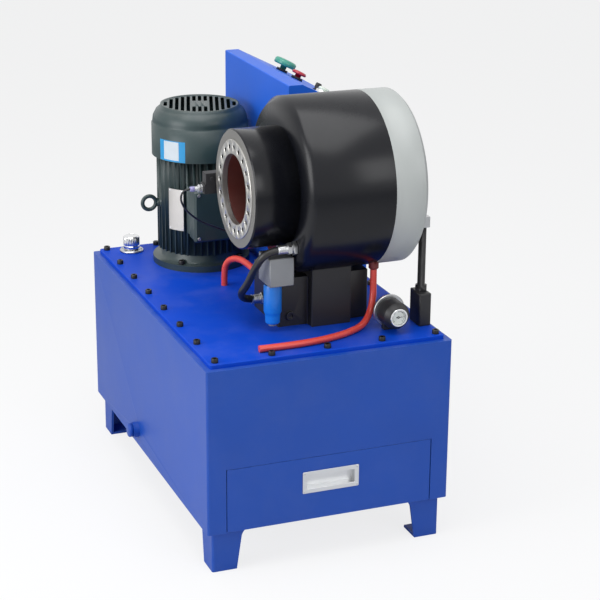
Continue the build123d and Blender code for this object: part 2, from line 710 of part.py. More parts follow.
dial_y = gauge_y - gauge_length + dial_recess
with BuildPart() as gauge_dial:
    rod((gauge_x, dial_y, gauge_z), (0, -1, 0), dial_radius - 0.2, 1.0)
    rod((gauge_x, dial_y, gauge_z), (0, -1, 0), 1.2, 2.6)
save_group([gauge_case, gauge_dial], "pressure_gauge")

with BuildPart() as gauge_needle:
    needle_y = dial_y - 1.3
    with BuildSketch(Plane(origin=(gauge_x, needle_y, gauge_z), x_dir=(1, 0, 0), z_dir=(0, -1, 0))) as outline:
        Circle(3.0)
        with Locations(Rotation(0, 0, 225)):
            with BuildLine():
                Polyline((-5, -1.1), (dial_radius * 0.72, -0.35), (dial_radius * 0.72, 0.35), (-5, 1.1), close=True)
            make_face()
        Circle(1.2 + running_clearance, mode=Mode.SUBTRACT)
    extrude(outline.sketch, amount=0.8)
save(gauge_needle, "gauge_needle")

# ---- motor ----
frame_z0, frame_z1 = motor_frame_base, motor_frame_base + motor_frame_height
with BuildPart() as motor_flange:
    upright(motor_plane, motor_axis, [
        (shaft_radius + running_clearance, 0), (motor_flange_radius, 0),
        (motor_flange_radius, motor_flange_thickness), (motor_frame_radius + 8, motor_flange_thickness),
        (motor_frame_radius, frame_z0), (shaft_radius + running_clearance, frame_z0)])
    for x, y, z in motor_screw_places:
        rod((x, y, z + 20), (0, 0, -1), screw_head_radius + 3, 20, mode=Mode.SUBTRACT)
        rod((x, y, z), (0, 0, -1), screw_radius + screw_clearance, motor_flange_thickness + 1,
            mode=Mode.SUBTRACT)
save(motor_flange, "motor_flange")

with BuildPart() as motor_frame:
    upright(motor_plane, motor_axis, [(motor_frame_radius - 10, frame_z0), (motor_frame_radius, frame_z0),
            (motor_frame_radius, frame_z1), (motor_frame_radius - 10, frame_z1)])
    with BuildSketch(Plane.XY.offset(plate_z + frame_z0 + 4)) as fins:
        with Locations((motor_x, motor_y)):
            with PolarLocations(motor_frame_radius - 2, motor_fin_count):
                Rectangle(motor_fin_radius - motor_frame_radius + 2, motor_fin_thickness,
                          align=(Align.MIN, Align.CENTER))
    extrude(fins.sketch, amount=motor_frame_height - 8)
    block(box_left_x + 4, box_left_x + box_width - 4, box_front_y + 50, motor_y - motor_frame_radius * 0.75,
          plate_z + box_base + 4, plate_z + box_base + box_height - 4)
    rod((motor_x - motor_frame_radius + 4, motor_y, plate_z + eye_height), (-1, 0, 0), 12,
        motor_fin_radius - motor_frame_radius + 6)
    upright(motor_plane, motor_axis, [(0, frame_z0), (motor_frame_radius - 10, frame_z0),
            (motor_frame_radius - 10, frame_z1), (0, frame_z1)], mode=Mode.SUBTRACT)
    rod((motor_x - motor_fin_radius - 3, motor_y, plate_z + eye_height), (1, 0, 0), 5.0, 13, mode=Mode.SUBTRACT)
    upright(motor_plane, motor_axis, [
        (shaft_radius + running_clearance, frame_z1), (cowl_radius - cowl_wall - cowl_gap, frame_z1),
        (cowl_radius - cowl_wall - cowl_gap, frame_z1 + shield_thickness), (motor_frame_radius, frame_z1 + shield_thickness),
        (shaft_radius + 20, frame_z1 + shield_thickness + 8),
        (shaft_radius + running_clearance, frame_z1 + shield_thickness + 8)])
save(motor_frame, "motor_frame")

rotor_top = frame_z1 + cowl_height - 40
with BuildPart() as motor_shaft:
    upright(motor_plane, motor_axis, [
        (0, -50), (shaft_radius - 2, -50), (shaft_radius, -48), (shaft_radius, frame_z0 + 14),
        (motor_frame_radius - 24, frame_z0 + 20), (motor_frame_radius - 24, frame_z1 - 24),
        (shaft_radius, frame_z1 - 18), (shaft_radius, rotor_top), (0, rotor_top)])
save(motor_shaft, "motor_shaft")

fan_z = frame_z1 + cowl_height - 92
with BuildPart() as motor_fan:
    upright(motor_plane, motor_axis, [(shaft_radius, fan_z), (fan_radius, fan_z), (fan_radius, fan_z + 3),
            (shaft_radius + 10, fan_z + 3), (shaft_radius + 10, fan_z + 34), (shaft_radius, fan_z + 34)])
    with BuildSketch(Plane.XY.offset(plate_z + fan_z)) as blades:
        with Locations((motor_x, motor_y)):
            with PolarLocations(shaft_radius + 8, fan_blades):
                Rectangle(fan_radius - shaft_radius - 10, 3, align=(Align.MIN, Align.CENTER))
    extrude(blades.sketch, amount=34)
save(motor_fan, "motor_fan")

cowl_z = frame_z1 - cowl_overlap
skirt_z = cowl_z + cowl_skirt
dome_z = cowl_z + cowl_height
with BuildPart() as fan_cowl:
    upright(motor_plane, motor_axis, [
        (cowl_radius - cowl_wall, cowl_z), (cowl_radius, cowl_z), (cowl_radius, skirt_z),
        (cowl_radius - 2, skirt_z + 1), (cowl_radius - 4, skirt_z + 18), (grille_radius + 15, dome_z - 15),
        (grille_radius + 4, dome_z - 6), (grille_radius + 3, dome_z), (grille_radius - 1, dome_z),
        (grille_radius - 3, dome_z - 2), (0, dome_z - 2), (0, dome_z - 2 - cowl_wall),
        (grille_radius + 1, dome_z - 2 - cowl_wall), (grille_radius + 2, dome_z - 7),
        (grille_radius + 13, dome_z - 16), (cowl_radius - 4 - cowl_wall, skirt_z + 17),
        (cowl_radius - 2 - cowl_wall, skirt_z - 1), (cowl_radius - cowl_wall, skirt_z - 2)])
    with BuildSketch(Plane.XY.offset(plate_z + dome_z + 1)) as slots:
        with Locations(Location((motor_x, motor_y, 0), (0, 0, grille_turn))):
            count = int(grille_radius * 2 / grille_pitch)
            for i in range(count):
                x = (i - (count - 1) / 2) * grille_pitch
                half = (max((grille_radius - 7) ** 2 - x ** 2, 0)) ** 0.5
                if half < 8:
                    continue
                if abs(x) < hub_size / 2:
                    for side in (-1, 1):
                        low, high = hub_size / 2 + 4, half
                        with Locations((x, side * (low + high) / 2)):
                            SlotOverall(high - low, grille_slot, rotation=90)
                else:
                    with Locations((x, 0)):
                        SlotOverall(2 * half, grille_slot, rotation=90)
    extrude(slots.sketch, amount=-cowl_wall - 4, mode=Mode.SUBTRACT)
save(fan_cowl, "fan_cowl")

tz0 = plate_z + box_base
with BuildPart() as terminal_box:
    block(box_left_x, box_left_x + box_width, box_front_y + lid_thickness, box_front_y + 50, tz0, tz0 + box_height)
    fillet(terminal_box.edges().filter_by(Axis.Y), 5.0)
save(terminal_box, "terminal_box")

with BuildPart() as terminal_box_lid:
    block(box_left_x - 2, box_left_x + box_width + 2, box_front_y, box_front_y + lid_thickness,
          tz0 - 2, tz0 + box_height + 2)
    fillet(terminal_box_lid.edges().filter_by(Axis.Y), 6.0)
    chamfer(terminal_box_lid.faces().sort_by(Axis.Y)[0].edges(), 5.0)
save(terminal_box_lid, "terminal_box_lid")

eye_z = plate_z + eye_height
eye_start = motor_x - motor_fin_radius - 2.0
with BuildPart() as eyebolt:
    rod((eye_start + 10, motor_y, eye_z), (-1, 0, 0), 5.0, 18)
    rod((eye_start, motor_y, eye_z), (-1, 0, 0), 11.0, 4)
    ring_x = eye_start - eye_wire - 2 - eye_radius
    with Locations(Plane(origin=(ring_x, motor_y, eye_z), z_dir=(0, 1, 0))):
        Torus(eye_radius, eye_wire)
save(eyebolt, "eyebolt")

# ---- pump and strainer under the plate ----
with BuildPart() as pump:
    upright(motor_plane, motor_axis, [
        (shaft_radius + 1, -2 - 60), (pump_radius - 4, -62), (pump_radius - 4, -2 - 58), (pump_radius, -58),
        (pump_radius, -plate_thickness), (pump_radius, 0), (pump_radius - 8, 0), (pump_radius - 8, -50),
        (shaft_radius + 1, -50)])
    upright(motor_plane, motor_axis, [(0, -62), (pump_radius - 10, -62), (pump_radius - 10, -62 - pump_length),
            (0, -62 - pump_length)])
save(pump, "pump")

with BuildPart() as suction_strainer:
    top = -62 - pump_length
    upright(motor_plane, motor_axis, [(0, top), (12, top), (12, top - 14), (strainer_radius, top - 18),
            (strainer_radius, top - 18 - strainer_length), (0, top - 18 - strainer_length)])
save(suction_strainer, "suction_strainer")

# ---- red drain hoses ----
boot_top = head_z - (barrel_radius ** 2 - (boot_y - head_y) ** 2) ** 0.5
boot_end = boot_top - 14.0
with BuildPart() as hose_boot:
    rod((boot_x, boot_y, boot_end), (0, 0, 1), boot_radius, 50)
    with Locations(Plane(origin=(0, head_y, head_z), z_dir=(1, 0, 0))):
        Cylinder(barrel_radius, 4 * tank_width, mode=Mode.SUBTRACT)
    chamfer(hose_boot.faces().sort_by(Axis.Z)[0].edges(), 3.0)
save(hose_boot, "hose_boot")

lying_z = plate_z + drain_hose_radius
drain_points = [
    (boot_x, boot_y, boot_end), (boot_x, boot_y, boot_end - 32),
    (boot_x - 2, boot_y - 6, boot_end - 68), (boot_x - 14, boot_y - 18, lying_z + 21),
    (boot_x - 42, boot_y - 44, lying_z + 1), (boot_x - 88, boot_y - 75, lying_z),
    (boot_x - 140, boot_y - 95, lying_z), (boot_x - 196, boot_y - 105, lying_z),
    (boot_x - 254, boot_y - 108, lying_z), (boot_x - 310, boot_y - 106, lying_z)]
save(tube(drain_points, drain_hose_radius, "drain_hose"), "drain_hose")

loop_x, loop_y = -74.0, 60.0
loop_points = [
    (loop_x, loop_y, plate_z), (loop_x, loop_y, plate_z + 30),
    (loop_x + 2, loop_y - 2, plate_z + 53), (loop_x + 11, loop_y - 13, plate_z + 71),
    (loop_x + 26, loop_y - 38, plate_z + 78), (loop_x + 37, loop_y - 78, plate_z + 73),
    (loop_x + 42, loop_y - 122, plate_z + 64), (loop_x + 42, pedestal_back_y, plate_z + 64)]
save(tube(loop_points, drain_hose_radius, "return_hose"), "return_hose")

# ---- proximity sensor on the rear collar ----
clamp_x = head_rear_x + 17.0
clamp_inner = head_y + (collar_radius ** 2 - (sensor_z - head_z) ** 2) ** 0.5
with BuildPart() as sensor_bracket:
    block(clamp_x - clamp_length, clamp_x, sensor_y - 14, sensor_y + 14, sensor_z - 12, sensor_z + 12)
    block(clamp_x - clamp_length + 4, clamp_x - 4, sensor_y - 14, sensor_y + 12, sensor_z + 12, sensor_z + 38)
    block(clamp_x - 12, clamp_x + 22, head_y + collar_radius * 0.9, sensor_y + 14, sensor_z - 12, sensor_z + 38)
    with Locations(Plane(origin=(head_rear_x, head_y, head_z), z_dir=(1, 0, 0))):
        Cylinder(collar_radius + 0.1, collar_length, align=(Align.CENTER, Align.CENTER, Align.MIN),
                 mode=Mode.SUBTRACT)
    rod((clamp_x - clamp_length - 1, sensor_y, sensor_z), (1, 0, 0), sensor_radius + thread_clearance,
        clamp_length + 24, mode=Mode.SUBTRACT)
    rod((clamp_x - clamp_length * 0.6, sensor_y - 14, sensor_z + 25), (0, -1, 0), 4.5, 5)
save(sensor_bracket, "sensor_bracket")

sensor_end = clamp_x - clamp_length - 31.0
with BuildPart() as proximity_sensor:
    rod((sensor_end + 10, sensor_y, sensor_z), (1, 0, 0), sensor_radius, sensor_length + 30)
    rod((sensor_end, sensor_y, sensor_z), (1, 0, 0), sensor_radius - 0.8, 12)
    hexagon((clamp_x - clamp_length - 5, sensor_y, sensor_z), (1, 0, 0), 17.0, 5)
    hexagon((clamp_x - clamp_length - 12, sensor_y, sensor_z), (1, 0, 0), 17.0, 5)
save(proximity_sensor, "proximity_sensor")

gland_y, gland_z = 42.0, plate_z + 132.0
cable_points = [
    (sensor_end, sensor_y, sensor_z), (sensor_end - 13, sensor_y, sensor_z),
    (sensor_end - 22, sensor_y + 4, sensor_z - 14), (sensor_end - 18, sensor_y + 12, sensor_z - 36),
    (sensor_end + 4, sensor_y + 28, sensor_z - 66), (sensor_end + 44, sensor_y + 56, sensor_z - 100),
    (sensor_end + 104, sensor_y + 86, sensor_z - 132), (sensor_end + 170, sensor_y + 104, gland_z - 4),
    (cabinet_left_x - 50, gland_y, gland_z), (cabinet_left_x - 14, gland_y, gland_z)]
save(tube(cable_points, sensor_cable_radius, "sensor_cable"), "sensor_cable")

# ---- control cabinet ----
cabinet_right_x = cabinet_left_x + cabinet_width
cabinet_back_y = cabinet_front_y + cabinet_depth
cabinet_z0 = plate_z + cabinet_plinth
cabinet_z1 = plate_z + cabinet_top
slope_x = cabinet_left_x + cabinet_ledge
slope_end_z = cabinet_z1 - (cabinet_right_x - slope_x) * tan(radians(cabinet_slope))
cabinet_side = Plane(origin=(0, cabinet_front_y, 0), x_dir=(1, 0, 0), z_dir=(0, -1, 0))


def cabinet_outline(inset):
    """The cabinet's side, as (x, z) points, moved in by a wall thickness."""
    lift = inset * tan(radians(cabinet_slope) / 2)
    drop = inset / cos(radians(cabinet_slope)) - inset * tan(radians(cabinet_slope))
    return [(cabinet_left_x + inset, cabinet_z0 + inset), (cabinet_right_x - inset, cabinet_z0 + inset),
            (cabinet_right_x - inset, slope_end_z - drop), (slope_x - lift, cabinet_z1 - inset),
            (cabinet_left_x + inset, cabinet_z1 - inset)]


slope_normal = Vector(sin(radians(cabinet_slope)), 0, cos(radians(cabinet_slope)))


def panel_plane(y, above=0.0):
    """The plane on the sloping panel at a place along Y, lifted by a distance."""
    z = cabinet_z1 - (button_x - slope_x) * tan(radians(cabinet_slope))
    return Plane(origin=Vector(button_x, y, z) + slope_normal * above, x_dir=(0, 1, 0), z_dir=slope_normal)


with BuildPart() as control_cabinet:
    for inset, mode in ((0, Mode.ADD), (cabinet_sheet, Mode.SUBTRACT)):
        with BuildSketch(cabinet_side) as side:
            with BuildLine():
                Polyline(*cabinet_outline(inset), close=True)
            make_face()
        amount = -cabinet_depth if mode is Mode.ADD else -(cabinet_depth - cabinet_sheet)
        if mode is Mode.ADD:
            extrude(side.sketch, amount=amount)
            outer_edges = control_cabinet.edges().filter_by(Axis.Y)
            fillet(outer_edges, 3.0)
        else:
            cavity = extrude(side.sketch, amount=amount, mode=Mode.PRIVATE)
            add(cavity, mode=Mode.SUBTRACT)
    block(cabinet_left_x + cabinet_sheet, cabinet_right_x - cabinet_sheet, cabinet_front_y,
          cabinet_front_y + cabinet_sheet, cabinet_z0 + cabinet_sheet, slope_end_z - 10)
    with BuildSketch(cabinet_side) as front_wall:
        with BuildLine():
            Polyline(*cabinet_outline(cabinet_sheet * 0.5), close=True)
        make_face()
    extrude(front_wall.sketch, amount=-cabinet_sheet)
    block(cabinet_left_x + 12, cabinet_right_x - 30, cabinet_front_y + 12, cabinet_front_y + cabinet_depth - 42,
          plate_z, cabinet_z0)
    block(cabinet_right_x - cabinet_sheet - 1, cabinet_right_x + 1, cabinet_front_y + cover_inset + 16,
          cabinet_back_y - cover_inset - 16, cabinet_z0 + cover_inset + 16, slope_end_z - cover_inset - 16,
          mode=Mode.SUBTRACT)
    for y, radius in ((start_button_y, 11), (stop_button_y, 11), (lamp_y, 11)):
        with BuildSketch(panel_plane(y, 5)) as hole:
            Circle(radius + 0.25)
        extrude(hole.sketch, amount=-12, mode=Mode.SUBTRACT)
    rod((cabinet_left_x - 14, gland_y, gland_z), (1, 0, 0), 8, 14)
    rod((cabinet_left_x - 10, gland_y, gland_z), (1, 0, 0), 10, 10)
save(control_cabinet, "control_cabinet")

with BuildPart() as cabinet_cover:
    block(cabinet_right_x, cabinet_right_x + cover_thickness, cabinet_front_y + cover_inset,
          cabinet_back_y - cover_inset, cabinet_z0 + cover_inset, slope_end_z - cover_inset)
    fillet(cabinet_cover.edges().filter_by(Axis.X), 6.0)
save(cabinet_cover, "cabinet_cover")


def push_button(y, cap_radius, cap_height, rise, name):
    """A mushroom push-button: a cap on a stem that slides in the bezel's sleeve."""
    with BuildPart() as piece:
        plane = panel_plane(y)
        axis = Axis(plane.origin, plane.z_dir)
        section = Plane(origin=plane.origin, x_dir=plane.x_dir, z_dir=plane.x_dir.cross(plane.z_dir))
        top = rise + cap_height
        with BuildSketch(section) as outline:
            with BuildLine():
                Polyline((0, -16), (8, -16), (8, rise), (cap_radius - 2, rise), (cap_radius, rise + 2),
                         (cap_radius, top - 5), (cap_radius * 0.86, top - 1.2), (cap_radius * 0.5, top), (0, top),
                         close=True)
            make_face()
        revolve(outline.sketch, axis=axis)
    save(piece, name)


push_button(start_button_y, start_button_radius, 17.0, collar_height + button_travel + 3, "start_button")
push_button(stop_button_y, stop_button_radius, 9.0, collar_height + button_travel + 1, "stop_button")

with BuildPart() as button_bezels:
    for y, reach in ((start_button_y, 15.0), (stop_button_y, 15.0)):
        plane = panel_plane(y)
        with BuildSketch(plane) as sleeve:
            Circle(reach)
            Circle(8 + running_clearance * 2, mode=Mode.SUBTRACT)
        extrude(sleeve.sketch, amount=collar_height)
        with BuildSketch(plane) as barrel:
            Circle(11)
            Circle(8 + running_clearance * 2, mode=Mode.SUBTRACT)
        extrude(barrel.sketch, amount=-14)
    plane = panel_plane(lamp_y)
    with BuildSketch(plane) as lamp_base:
        Circle(lamp_radius + 2)
    extrude(lamp_base.sketch, amount=6)
    with BuildSketch(plane) as lamp_barrel:
        Circle(11)
    extrude(lamp_barrel.sketch, amount=-14)
save(button_bezels, "button_bezels")

with BuildPart() as pilot_lamp:
    plane = panel_plane(lamp_y, 6.0)
    with BuildSketch(plane) as lens:
        Circle(lamp_radius)
    extrude(lens.sketch, amount=9)
    fillet(pilot_lamp.edges().group_by(Axis(plane.origin, plane.z_dir))[-1], 4.0)
save(pilot_lamp, "pilot_lamp")

print(len(nodes), "nodes")
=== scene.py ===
import json
import math

import bmesh
import bpy
import numpy as np
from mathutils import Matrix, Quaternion, Vector

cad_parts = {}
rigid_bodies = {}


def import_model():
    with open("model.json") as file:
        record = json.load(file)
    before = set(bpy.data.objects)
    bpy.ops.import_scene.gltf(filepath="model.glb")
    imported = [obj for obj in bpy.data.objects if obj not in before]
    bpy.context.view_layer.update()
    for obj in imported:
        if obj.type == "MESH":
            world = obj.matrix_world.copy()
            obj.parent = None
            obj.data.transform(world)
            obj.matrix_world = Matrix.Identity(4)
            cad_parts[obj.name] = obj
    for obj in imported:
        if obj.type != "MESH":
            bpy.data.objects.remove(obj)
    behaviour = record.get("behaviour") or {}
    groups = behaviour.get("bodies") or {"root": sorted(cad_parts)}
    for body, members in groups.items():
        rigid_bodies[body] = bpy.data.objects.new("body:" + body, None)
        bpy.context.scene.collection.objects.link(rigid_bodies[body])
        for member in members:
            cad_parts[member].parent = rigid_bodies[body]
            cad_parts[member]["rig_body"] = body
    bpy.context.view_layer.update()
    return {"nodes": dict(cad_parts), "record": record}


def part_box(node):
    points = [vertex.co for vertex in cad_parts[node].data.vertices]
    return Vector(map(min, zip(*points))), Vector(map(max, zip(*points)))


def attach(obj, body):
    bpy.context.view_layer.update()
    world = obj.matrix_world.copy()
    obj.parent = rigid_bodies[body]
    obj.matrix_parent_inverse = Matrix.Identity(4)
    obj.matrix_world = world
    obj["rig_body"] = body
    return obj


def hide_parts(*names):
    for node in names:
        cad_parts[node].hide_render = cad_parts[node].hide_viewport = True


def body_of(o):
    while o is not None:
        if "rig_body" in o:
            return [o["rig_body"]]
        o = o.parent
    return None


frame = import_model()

nodes = frame["nodes"]

# ---------------------------------------------------------------- places read from the frame


def middle(node):
    """Middle of a CAD node's box."""
    low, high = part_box(node)
    return (low + high) / 2


plate_low, plate_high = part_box("top_plate")
plate_top = plate_high.z
head_centre = middle("head_barrel")
motor_centre = middle("fan_cowl")

# ---------------------------------------------------------------- camera, lamps, floor

lit_middle = (0, 0, 0.6)
floor_reach = 14.0
floor_own_white = 0.8


def make_camera():
    """A long lens from the front left, a little above the head."""
    data = bpy.data.cameras.new("camera")
    data.lens, data.sensor_width = 108.0, 36.0
    data.clip_start, data.clip_end = 0.1, 60.0
    camera = bpy.data.objects.new("camera", data)
    bpy.context.scene.collection.objects.link(camera)
    turn, tilt, roll = math.radians(21.55), math.radians(19.14), math.radians(0.46)
    camera.location = (-1.4616, -3.9676, 1.9490)
    camera.rotation_mode = "QUATERNION"
    aim = Quaternion((0, 0, 1), -turn) @ Quaternion((1, 0, 0), math.pi / 2 - tilt)
    camera.rotation_quaternion = aim @ Quaternion((0, 0, 1), roll)
    bpy.context.scene.camera = camera


def soft_box(name, place, size, power):
    """A square lamp at a place, turned to the middle of the machine."""
    data = bpy.data.lights.new(name, "AREA")
    data.shape, data.size, data.energy = "SQUARE", size, power
    lamp = bpy.data.objects.new(name, data)
    bpy.context.scene.collection.objects.link(lamp)
    lamp.location = place
    lamp.rotation_mode = "QUATERNION"
    lamp.rotation_quaternion = (Vector(lit_middle) - Vector(place)).to_track_quat("-Z", "Y")


def make_world():
    """White to the camera and in mirrors, a softer grey as a lamp."""
    world = bpy.data.worlds.new("studio")
    bpy.context.scene.world = world
    world.use_nodes = True
    tree = world.node_tree
    tree.nodes.clear()
    path = tree.nodes.new("ShaderNodeLightPath")
    seen = tree.nodes.new("ShaderNodeMath")
    seen.operation = "MAXIMUM"
    tree.links.new(path.outputs["Is Camera Ray"], seen.inputs[0])
    through = tree.nodes.new("ShaderNodeMath")
    through.operation = "MAXIMUM"
    tree.links.new(path.outputs["Is Glossy Ray"], through.inputs[0])
    tree.links.new(path.outputs["Is Transmission Ray"], through.inputs[1])
    tree.links.new(through.outputs[0], seen.inputs[1])
    lamp = tree.nodes.new("ShaderNodeBackground")
    lamp.inputs["Color"].default_value = (0.93, 0.96, 1.0, 1)
    lamp.inputs["Strength"].default_value = 0.42
    white = tree.nodes.new("ShaderNodeBackground")
    white.inputs["Color"].default_value = (1, 1, 1, 1)
    mix = tree.nodes.new("ShaderNodeMixShader")
    output = tree.nodes.new("ShaderNodeOutputWorld")
    tree.links.new(seen.outputs[0], mix.inputs["Fac"])
    tree.links.new(lamp.outputs[0], mix.inputs[1])
    tree.links.new(white.outputs[0], mix.inputs[2])
    tree.links.new(mix.outputs[0], output.inputs["Surface"])


def make_floor():
    """A large pale sheet under the machine; part of its white shows to the camera whatever the light."""
    mesh = bpy.data.meshes.new("floor")
    corners = [(-1, -1), (1, -1), (1, 1), (-1, 1)]
    mesh.from_pydata([(x * floor_reach, y * floor_reach, 0) for x, y in corners], [], [(0, 1, 2, 3)])
    floor = bpy.data.objects.new("floor", mesh)
    bpy.context.scene.collection.objects.link(floor)
    material = bpy.data.materials.new("floor_white")
    material.use_nodes = True
    tree = material.node_tree
    shader = tree.nodes["Principled BSDF"]
    shader.inputs["Base Color"].default_value = (0.86, 0.86, 0.87, 1)
    shader.inputs["Roughness"].default_value = 0.9
    shader.inputs["Specular IOR Level"].default_value = 0.0
    glow = tree.nodes.new("ShaderNodeEmission")
    glow.inputs["Color"].default_value = (1, 1, 1, 1)
    path = tree.nodes.new("ShaderNodeLightPath")
    share = tree.nodes.new("ShaderNodeMath")
    share.operation = "MULTIPLY"
    share.inputs[1].default_value = floor_own_white
    mix = tree.nodes.new("ShaderNodeMixShader")
    tree.links.new(path.outputs["Is Camera Ray"], share.inputs[0])
    tree.links.new(share.outputs[0], mix.inputs["Fac"])
    tree.links.new(shader.outputs[0], mix.inputs[1])
    tree.links.new(glow.outputs[0], mix.inputs[2])
    tree.links.new(mix.outputs[0], tree.nodes["Material Output"].inputs["Surface"])
    mesh.materials.append(material)


make_camera()
make_world()
make_floor()
soft_box("sky", (-0.5, -0.5, 3.4), 2.6, 62)
soft_box("left", (-3.0, -0.6, 1.5), 1.8, 46)
soft_box("front", (1.0, -3.4, 2.2), 1.6, 22)
bpy.context.scene.view_settings.view_transform = "Standard"

# ---------------------------------------------------------------- shared effects, as node groups


def make_group(name, inputs, outputs):
    """An empty shader group with float, colour or vector sockets; returns it with its in and out nodes."""
    group = bpy.data.node_groups.new(name, "ShaderNodeTree")
    kinds = {"f": "NodeSocketFloat", "c": "NodeSocketColor", "v": "NodeSocketVector"}
    for label, kind, value in inputs:
        socket = group.interface.new_socket(label, in_out="INPUT", socket_type=kinds[kind])
        socket.default_value = value
    for label, kind in outputs:
        group.interface.new_socket(label, in_out="OUTPUT", socket_type=kinds[kind])
    return group, group.nodes.new("NodeGroupInput"), group.nodes.new("NodeGroupOutput")


def add_node(tree, kind, wires=(), **values):
    """A node with set properties and named inputs; wires are (input, source socket) pairs."""
    node = tree.nodes.new(kind)
    for key, value in values.items():
        label = key.replace("_", " ")
        if hasattr(node, key):
            setattr(node, key, value)
        elif label in node.inputs:
            node.inputs[label].default_value = value
        else:
            node.inputs[label.title()].default_value = value
    for socket, source in wires:
        tree.links.new(source, node.inputs[socket])
    return node


def maths(tree, operation, first, second=None, third=None):
    """A math node on sockets or numbers; returns its output."""
    node = tree.nodes.new("ShaderNodeMath")
    node.operation = operation
    for index, value in enumerate((first, second, third)):
        if value is None:
            continue
        if isinstance(value, (int, float)):
            node.inputs[index].default_value = value
        else:
            tree.links.new(value, node.inputs[index])
    return node.outputs[0]


def noise(tree, vector, scale, detail=3.0, roughness=0.55):
    """A noise texture's grey value at features per metre; scale may be a socket."""
    node = add_node(tree, "ShaderNodeTexNoise", [("Vector", vector)], Detail=detail, Roughness=roughness)
    if isinstance(scale, (int, float)):
        node.inputs["Scale"].default_value = scale
    else:
        tree.links.new(scale, node.inputs["Scale"])
    return node.outputs["Fac"]


def band(tree, value, low, high):
    """A smooth step from 0 at low to 1 at high."""
    node = add_node(tree, "ShaderNodeMapRange", [("Value", value)])
    node.interpolation_type = "SMOOTHSTEP"
    node.inputs["From Min"].default_value = low
    node.inputs["From Max"].default_value = high
    return node.outputs["Result"]


def paint_peel_group():
    """Sprayed enamel: a fine orange peel as a height, and a slow cloudiness as a tone."""
    group, given, result = make_group("paint_peel", [("Grain", "f", 420.0)], [("Height", "f"), ("Tone", "f")])
    place = add_node(group, "ShaderNodeTexCoord").outputs["Object"]
    fine = noise(group, place, given.outputs["Grain"], 2.0)
    slow = noise(group, place, 5.0, 3.0)
    group.links.new(fine, result.inputs["Height"])
    group.links.new(slow, result.inputs["Tone"])
    return group


def edge_highlight_group():
    """A painted highlight's mask along outer edges, broken up by noise: where a rounded normal leaves the
    flat one.
    """
    group, given, result = make_group(
        "edge_highlight", [("Radius", "f", 0.0015), ("Breakup", "f", 60.0)], [("Mask", "f")])
    rounded = add_node(group, "ShaderNodeBevel")
    rounded.samples = 4
    group.links.new(given.outputs["Radius"], rounded.inputs["Radius"])
    flat = add_node(group, "ShaderNodeNewGeometry")
    dot = group.nodes.new("ShaderNodeVectorMath")
    dot.operation = "DOT_PRODUCT"
    group.links.new(rounded.outputs["Normal"], dot.inputs[0])
    group.links.new(flat.outputs["Normal"], dot.inputs[1])
    edge = band(group, maths(group, "SUBTRACT", 1.0, dot.outputs["Value"]), 0.02, 0.22)
    place = add_node(group, "ShaderNodeTexCoord").outputs["Object"]
    broken = band(group, noise(group, place, given.outputs["Breakup"], 4.0, 0.7), 0.35, 0.6)
    group.links.new(maths(group, "MULTIPLY", edge, broken), result.inputs["Mask"])
    return group


def dust_group():
    """A mask of settled dust: more on faces that look up, in clouds and fine specks."""
    group, given, result = make_group("dust", [("Amount", "f", 0.3)], [("Mask", "f")])
    shape = add_node(group, "ShaderNodeNewGeometry")
    axis = add_node(group, "ShaderNodeSeparateXYZ", [("Vector", shape.outputs["Normal"])])
    upward = band(group, axis.outputs["Z"], 0.2, 1.0)
    place = add_node(group, "ShaderNodeTexCoord").outputs["Object"]
    clouds = band(group, noise(group, place, 9.0, 5.0, 0.65), 0.38, 0.75)
    specks = band(group, noise(group, place, 900.0, 1.0), 0.62, 0.72)
    both = maths(group, "ADD", clouds, maths(group, "MULTIPLY", specks, 0.5))
    side = maths(group, "ADD", maths(group, "MULTIPLY", upward, 0.8), 0.2)
    masked = maths(group, "MULTIPLY", maths(group, "MULTIPLY", both, side), given.outputs["Amount"])
    group.links.new(maths(group, "MINIMUM", masked, 1.0), result.inputs["Mask"])
    return group


def turning_group():
    """Marks of a lathe about an axis along X: noise of the place along it and the radius only."""
    group, given, result = make_group(
        "turning", [("Centre", "v", (0, 0, 0)), ("Marks", "f", 900.0)], [("Height", "f"), ("Tone", "f")])
    place = add_node(group, "ShaderNodeTexCoord").outputs["Object"]
    shift = group.nodes.new("ShaderNodeVectorMath")
    shift.operation = "SUBTRACT"
    group.links.new(place, shift.inputs[0])
    group.links.new(given.outputs["Centre"], shift.inputs[1])
    part = add_node(group, "ShaderNodeSeparateXYZ", [("Vector", shift.outputs["Vector"])])
    squares = maths(group, "ADD", maths(group, "MULTIPLY", part.outputs["Y"], part.outputs["Y"]),
                    maths(group, "MULTIPLY", part.outputs["Z"], part.outputs["Z"]))
    radius = maths(group, "SQRT", squares)
    along = group.nodes.new("ShaderNodeCombineXYZ")
    group.links.new(part.outputs["X"], along.inputs["X"])
    group.links.new(radius, along.inputs["Y"])
    fine = noise(group, along.outputs["Vector"], given.outputs["Marks"], 4.0, 0.7)
    slow = noise(group, place, 14.0, 3.0)
    group.links.new(fine, result.inputs["Height"])
    tone = maths(group, "ADD", maths(group, "MULTIPLY", fine, 0.6), maths(group, "MULTIPLY", slow, 0.4))
    group.links.new(tone, result.inputs["Tone"])
    return group


